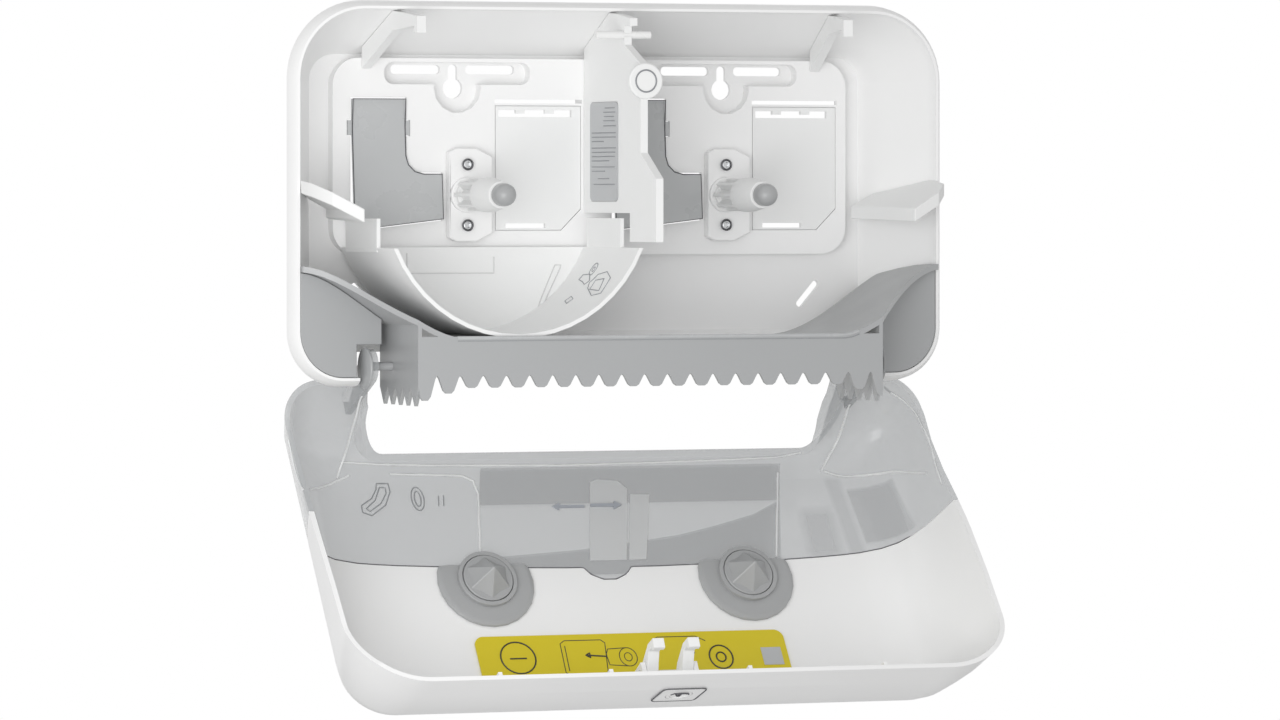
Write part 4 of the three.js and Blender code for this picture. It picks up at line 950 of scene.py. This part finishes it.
@dataclass
class LockDetail:
    """The seam round the lock's plate, a line of painted shadow along one side of its dish, and its key
    opening.
    """

    middle_y: float = -83.5
    half_width: float = 11.9
    half_depth: float = 10.2
    corner: float = 2.6
    seam: float = 0.3 * MM
    seam_rise: float = 0.6 * MM
    corner_turns: Sequence[int] = (0, 30, 60, 90)
    dish_radius: float = 5.0
    dish_line: float = 0.42 * MM
    dish_arc: tuple[int, int, int] = (15, 170, 10)
    key_radius: float = 1.4
    over_cover: float = 130.0

    def build(self) -> None:
        """Makes the lock's details."""
        w, d, c = self.half_width, self.half_depth, self.corner
        seam = Beads("lock_seam", Finish.SEAM, Body.COVER, self.seam, OPENED)
        corners = ((w - c, d - c, 0), (c - w, d - c, 90), (c - w, c - d, 180), (w - c, c - d, 270))
        plate = [
            (x + c * math.cos(math.radians(a + b)), y + c * math.sin(math.radians(a + b)))
            for x, y, a in corners for b in self.corner_turns
        ]
        self.lay(seam, Ground("cover_shell", OPENED), finer(plate, True), True)
        seam.build()
        barrel = Ground("lock_barrel", OPENED)
        # The dark arc is painted shadow at the dish's edge; the small ring is the key opening.
        shaded = Beads("lock_dish_shadow_and_key", Finish.SEAM, Body.LOCK, self.dish_line, OPENED)
        arc = [math.radians(a) for a in range(*self.dish_arc)]
        rim = [(self.dish_radius * math.cos(a), self.dish_radius * math.sin(a)) for a in arc]
        self.lay(shaded, barrel, rim, False)
        self.lay(shaded, barrel, ring_of((0.0, 0.0), self.key_radius, 12), True)
        shaded.build()

    def lay(self, beads: Beads, ground: Ground, stroke: Sequence[Spot], closed: bool) -> None:
        """Lays a line on the top of the closed cover.

        Args:
            beads: the piece that takes the line.
            ground: the surface.
            stroke: the line's places about the lock's middle, in millimetres.
            closed: whether it returns to its start.
        """
        places = [Vector((x, self.middle_y + y, self.over_cover)) * MM for x, y in stroke]
        found = [ground.under(place, DOWN) for place in places]
        rise = Vector((0.0, 0.0, self.seam_rise))
        beads.add([place + rise for place in found if place], closed)


@dataclass
class InfoBars:
    """Plain thin bars on the divider's grey plate, by drop in millimetres, start and end as shares."""

    radius: float = 0.28 * MM
    rows: Sequence[tuple[float, float, float]] = (
        (3.0, 0.55, 0.9), (5.2, 0.5, 0.92), (7.4, 0.52, 0.88), (9.6, 0.5, 0.9), (12.2, 0.5, 0.94),
        (15.8, 0.08, 0.94), (18.0, 0.08, 0.94), (20.2, 0.08, 0.5), (23.6, 0.08, 0.94), (25.8, 0.08, 0.92),
        (28.0, 0.08, 0.9), (30.2, 0.08, 0.7), (33.4, 0.08, 0.9), (35.6, 0.08, 0.55), (39.4, 0.3, 0.7),
        (42.4, 0.15, 0.9),
    )

    def build(self) -> None:
        """Makes the bars."""
        low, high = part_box("info_plate")
        near, far = low[1], high[1]
        bars = Beads("info_plate_bars", Finish.PENCIL, Body.HOUSING, self.radius)
        for drop, start, end in self.rows:
            z = high[2] - drop * MM
            ends = (far - start * (far - near), far - end * (far - near))
            bars.add([(low[0], y, z) for y in ends])
        bars.build()


@dataclass
class ScrewRims:
    """The dark rims round the four screw heads."""

    radius: float = 2.75 * MM
    line: float = 0.42 * MM

    def build(self) -> None:
        """Makes the rims."""
        rims = Beads("screw_rims", Finish.DARK_STEEL, Body.HOUSING, self.line)
        for node in SCREWS:
            low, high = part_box(node)
            middle = ((low[0] + high[0]) / 2, (low[2] + high[2]) / 2)
            rims.add([(x, low[1] + self.line / 2, z) for x, z in ring_of(middle, self.radius, 24)], True)
        rims.build()


@dataclass
class BowlDrawing:
    """Faint outlines on the inside of the shutter bowl and the relief on its back wall."""

    middle_x: float = -72.0 * MM
    radius: float = 70.35 * MM
    line: float = 0.26 * MM
    relief_share: float = 1.4
    back_y: float = -14.1 * MM
    strokes: Strokes = (
        (True, ring_of((57.0, -45.0), 3.0, 16, 1.2)),
        (True, ring_of((57.0, -45.0), 1.2, 10, 1.2)),
        (True, ((51.5, -34.0), (54.0, -35.0), (54.5, -44.0), (51.0, -50.0), (49.0, -47.0), (50.5, -41.0))),
        (True, ((47.0, -56.0), (50.0, -52.0), (54.5, -56.0), (56.0, -66.0), (53.0, -76.0), (44.5, -80.0),
                (43.0, -70.0))),
        (True, ((46.5, -60.0), (51.5, -58.0), (52.5, -68.0), (46.0, -74.0))),
        (True, ((40.5, -50.0), (42.0, -44.0), (39.0, -42.0), (37.5, -48.0))),
    )
    arm: Sequence[Spot] = (
        (-22.6, -36.4), (-19.4, -36.4), (-19.9, -38.2), (-26.8, -52.0), (-29.6, -58.2), (-32.4, -59.0),
        (-30.0, -52.8), (-24.4, -40.0),
    )
    frame_line: Sequence[Spot] = ((-104.0, -30.0), (-104.0, -40.4), (-56.4, -40.4), (-56.4, -32.0))

    def build(self) -> None:
        """Makes the outlines."""
        drawn = Beads("bowl_outlines", Finish.PENCIL, Body.SHUTTER, self.line)
        for closed, stroke in self.strokes:
            drawn.add([
                (self.middle_x + self.radius * math.sin(math.radians(turn)), y * MM,
                 -self.radius * math.cos(math.radians(turn)))
                for turn, y in finer(stroke, closed)
            ], closed)
        drawn.build()
        relief = Beads("bowl_back_relief", Finish.FAINT, Body.SHUTTER, self.line * self.relief_share)
        relief.add([(x * MM, self.back_y, z * MM) for x, z in self.frame_line])
        relief.add([(x * MM, self.back_y, z * MM) for x, z in self.arm], True)
        relief.build()


@dataclass
class FlapGapShade:
    """Painted shade in the gaps round the two grey roll flaps in the back wall."""

    line: float = 0.3 * MM
    middle: float = 72.0
    pivot: Spot = (-10.3, 34.5)
    lean: float = math.radians(5)
    outline: Sequence[Spot] = (
        (-60.5, 49.4), (-60.5, 34.5), (-60.5, -18.0), (-12.2, -12.4), (-12.2, 10.7), (-22.3, 10.7),
        (-27.05, 12.0), (-30.5, 15.45), (-31.8, 20.2), (-31.8, 34.5), (-31.8, 49.4),
    )

    def build(self) -> None:
        """Makes the gaps' lines."""
        for side, sign, body in (("left", -1, Body.LEFT_FLAP), ("right", 1, Body.RIGHT_FLAP)):
            # A dark line of painted shade along each flap's front edge, where its gap lies in shadow.
            seam = Beads(f"{side}_flap_gap_shade", Finish.SEAM, body, self.line)
            front, height = self.pivot
            seam.add([
                ((sign * self.middle + x) * MM, (front - abs(z - height) * math.tan(self.lean)) * MM, z * MM)
                for x, z in self.outline
            ], True)
            seam.build()


@dataclass
class TrayLip:
    """The rounded lip along the top of the tray's toothed front, in a lighter grey as a painted highlight,
    with a line of painted shade under it.
    """

    x: tuple[int, int, int] = (-106, 115, 4)
    radius: float = 1.1 * MM
    inset_share: float = 0.7
    shade: float = 0.3 * MM
    shade_drop_share: float = 1.3
    low: float = -82.0
    high: float = -66.0
    before_tray: float = -300.0
    same_front: float = 3.0 * MM

    def build(self) -> None:
        """Makes the lip."""
        ground = Ground("tear_tray", AS_PLACED)
        tops = [place for x in range(*self.x) if (place := self.top_at(ground, x))]
        # The lip's lighter grey is a painted highlight on the tray's own grey.
        lip = Beads("tray_lip", Finish.FLAP, Body.HOUSING, self.radius)
        lip.add(tops)
        lip.build()
        # A thin darker line under the lip: painted shade.
        below = Beads("tray_lip_shade", Finish.WINDOW_LINE, Body.HOUSING, self.shade)
        drop = Vector((0.0, self.inset_share, self.shade_drop_share)) * self.radius
        below.add([place - drop for place in tops])
        below.build()

    def top_at(self, ground: Ground, x: float) -> Vector | None:
        """Finds the top of the toothed front.

        Args:
            ground: the tray's surface.
            x: where along the tray, in millimetres.

        Returns:
            The place just under the top edge, or nothing where the front has none.
        """
        first = self.front_at(ground, x, self.low)
        if not first:
            return None
        top = last_place(self.low, self.high, lambda z: self.is_front(self.front_at(ground, x, z), first))
        inset = self.radius * self.inset_share
        return Vector((x * MM, first.y + inset, top * MM - inset))

    def front_at(self, ground: Ground, x: float, z: float) -> Vector | None:
        """Finds the tray's first surface from the front at X and Z in millimetres."""
        return ground.under(Vector((x, self.before_tray, z)) * MM, TO_BACK)

    def is_front(self, place: Vector | None, first: Vector) -> bool:
        """Tells whether a place, if there is one, lies as far forward as the front's first place."""
        return place is not None and abs(place.y - first.y) < self.same_front


@dataclass
class BadgeRing:
    """The grey ring drawn on the divider's round badge."""

    middle: Spot = (-3.0 * MM, 58.0 * MM)
    radius: float = 5.6 * MM
    y: float = -93.35 * MM
    line: float = 0.4 * MM

    def build(self) -> None:
        """Makes the ring."""
        ring = Beads("badge_ring", Finish.PENCIL, Body.HOUSING, self.line)
        ring.add([(x, self.y, z) for x, z in ring_of(self.middle, self.radius, 36)], True)
        ring.build()


@dataclass
class HingeCollars:
    """The round collars on the ends of the two hinge pins."""

    radius: float = 10.6 * MM
    thick: float = 1.5 * MM
    place: float = 140.6 * MM
    centre: Spot = (-56.0 * MM, -88.0 * MM)
    edge: float = 0.5 * MM
    rim_angle: float = 1.0
    sides: int = 48

    def build(self) -> None:
        """Makes the collars."""
        for side, sign in (("left", -1), ("right", 1)):
            shape = bmesh.new()
            bmesh.ops.create_cone(
                shape, cap_ends=True, segments=self.sides, radius1=self.radius, radius2=self.radius,
                depth=self.thick,
            )
            rim = [edge for edge in shape.edges if edge.calc_face_angle(0.0) > self.rim_angle]
            bmesh.ops.bevel(
                shape, geom=rim, offset=self.edge, segments=2, profile=0.5, affect="EDGES", material=-1,
            )
            bmesh.ops.rotate(shape, verts=shape.verts, matrix=Matrix.Rotation(math.pi / 2, 3, "Y"))
            middle = (sign * (self.place + self.thick / 2), *self.centre)
            bmesh.ops.translate(shape, verts=shape.verts, vec=middle)
            shade(shape, THIN_SHARP_ANGLE)
            piece_from(shape, f"{side}_hinge_collar", Finish.TRAY, Body.HOUSING)


class Lamp(NamedTuple):
    """A square soft light: where it stands, the point that it faces, its side and its power in watts."""

    name: str
    place: Place
    target: Place
    size: float
    power: float


@dataclass
class Studio:
    """The camera, the lights, the floor and the white surroundings."""

    camera_place: Place = (-1.292, -3.357, 0.0)
    camera_turn: float = math.radians(-21.5)
    lens: float = 193.8
    sensor: float = 36.0
    shift_y: float = -0.129
    floor_drop: float = 0.85
    floor_half: float = 4.0
    floor_colour: Colour = (0.9, 0.9, 0.9)
    floor_roughness: float = 0.8
    surround: float = 0.6
    lamps: Sequence[Lamp] = (
        Lamp("key", (-0.55, -0.78, -0.12), (-0.06, -0.05, -0.09), 0.6, 3.5),
        Lamp("front", (-0.9, -2.2, -0.1), (-0.05, -0.05, -0.12), 1.4, 5.2),
    )

    def build(self) -> None:
        """Makes the whole studio."""
        self.build_camera()
        self.build_world()
        self.build_floor()
        for lamp in self.lamps:
            self.build_light(lamp)
        bpy.context.scene.view_settings.view_transform = "Standard"

    def build_camera(self) -> None:
        """Makes the camera that looks from the photograph's side."""
        data = bpy.data.cameras.new("photo_camera")
        data.lens = self.lens
        data.sensor_width = self.sensor
        data.shift_y = self.shift_y
        camera = bpy.data.objects.new("photo_camera", data)
        camera.location = self.camera_place
        camera.rotation_euler = (math.pi / 2, 0.0, self.camera_turn)
        bpy.context.scene.collection.objects.link(camera)
        bpy.context.scene.camera = camera

    def build_world(self) -> None:
        """Makes the surroundings: white to the eye, and a plain soft light on the object."""
        world = bpy.data.worlds.new("surround")
        bpy.context.scene.world = world
        world.use_nodes = True
        tree = world.node_tree
        tree.nodes.clear()
        output = tree.nodes.new("ShaderNodeOutputWorld")
        path = tree.nodes.new("ShaderNodeLightPath")
        mix = tree.nodes.new("ShaderNodeMixShader")
        for socket, strength in ((mix.inputs[1], self.surround), (mix.inputs[2], 1.0)):
            backdrop = tree.nodes.new("ShaderNodeBackground")
            backdrop.inputs["Color"].default_value = (1.0, 1.0, 1.0, 1.0)
            backdrop.inputs["Strength"].default_value = strength
            tree.links.new(backdrop.outputs["Background"], socket)
        seen = path.outputs["Is Camera Ray"]
        for ray in ("Is Glossy Ray", "Is Transmission Ray"):
            either = tree.nodes.new("ShaderNodeMath")
            either.operation = "MAXIMUM"
            tree.links.new(seen, either.inputs[0])
            tree.links.new(path.outputs[ray], either.inputs[1])
            seen = either.outputs["Value"]
        tree.links.new(seen, mix.inputs["Fac"])
        tree.links.new(mix.outputs["Shader"], output.inputs["Surface"])

    def build_floor(self) -> None:
        """Makes the pale floor, well below the object that hangs on its wall."""
        shape = bmesh.new()
        bmesh.ops.create_grid(shape, x_segments=1, y_segments=1, size=self.floor_half)
        height = cad_box[0][2] - self.floor_drop
        bmesh.ops.translate(shape, verts=shape.verts, vec=(0.0, 0.0, height))
        floor = object_from(shape, "floor")
        shading = Shading("floor_white")
        shading.shader.inputs["Base Color"].default_value = (*self.floor_colour, 1.0)
        shading.shader.inputs["Roughness"].default_value = self.floor_roughness
        floor.data.materials.append(shading.material)

    def build_light(self, lamp: Lamp) -> None:
        """Makes a lamp.

        Args:
            lamp: what the lamp is and where it stands.
        """
        data = bpy.data.lights.new(lamp.name, "AREA")
        data.size = lamp.size
        data.energy = lamp.power
        made = bpy.data.objects.new(lamp.name, data)
        made.location = lamp.place
        aim = Vector(lamp.target) - Vector(lamp.place)
        made.rotation_euler = aim.to_track_quat("-Z", "Y").to_euler()
        bpy.context.scene.collection.objects.link(made)


@dataclass
class Carried:
    """The CAD nodes that keep their shape, by finish and edge softness in millimetres."""

    rows: Sequence[tuple[Finish, float, Sequence[str]]] = (
        (Finish.INNER, 0.5, ("rear_housing",)),
        (Finish.TRAY, 0.35, ("tear_tray", "left_cheek", "right_cheek")),
        (Finish.TRAY, 0.0, ("left_hinge_pin", "right_hinge_pin")),
        (Finish.GUIDE, 0.5, ("left_wing", "right_wing", "left_bracket", "right_bracket")),
        (Finish.GUIDE, 0.45, ("divider_arm", "shutter")),
        (Finish.GUIDE, 0.25, ("round_badge", "left_blanking_plate", "right_blanking_plate")),
        (Finish.PLATE, 0.0, ("info_plate",)),
        (Finish.INNER, 0.5, ("left_spindle_seat", "right_spindle_seat")),
        (Finish.GUIDE, 0.25, ("left_spindle", "right_spindle")),
        (Finish.CAP, 0.3, ("left_spindle_cap", "right_spindle_cap")),
        (Finish.FLAP, 0.5, ("left_roll_flap", "right_roll_flap")),
        (Finish.STEEL, 0.15, (*SCREWS, "left_axle", "right_axle")),
        (Finish.LACQUER, 0.15, ("latch_keeper_pin",)),
        (Finish.SHELL, 0.4, ("cover_shell", "lock_plate", "lock_barrel")),
        (Finish.GUIDE, 0.5, ("latch_claw",)),
        (Finish.WINDOW, 0.4, ("cover_window",)),
        (Finish.LABEL, 0.0, ("instruction_label",)),
        (Finish.CAP, 0.4, ("left_cone_seat", "right_cone_seat", "left_cone", "right_cone")),
    )

    def build(self) -> None:
        """Makes the softened copies."""
        for finish, edge, nodes in self.rows:
            for node in nodes:
                piece = Moulding(node, finish, edge * MM).build()
                log.info("%s: %d faces", piece.name, len(piece.data.polygons))


def main() -> None:
    """Builds the studio and every piece in order."""
    logging.basicConfig(level=logging.INFO, format="%(message)s")
    parts = (
        Studio(), Carried(), WindowMarks(), LabelDrawing(), LockDetail(), InfoBars(), ScrewRims(),
        BowlDrawing(), HingeCollars(), FlapGapShade(), TrayLip(), BadgeRing(),
    )
    for part in parts:
        part.build()
        log.info("%s built", type(part).__name__)


if __name__ == "__main__":
    main()
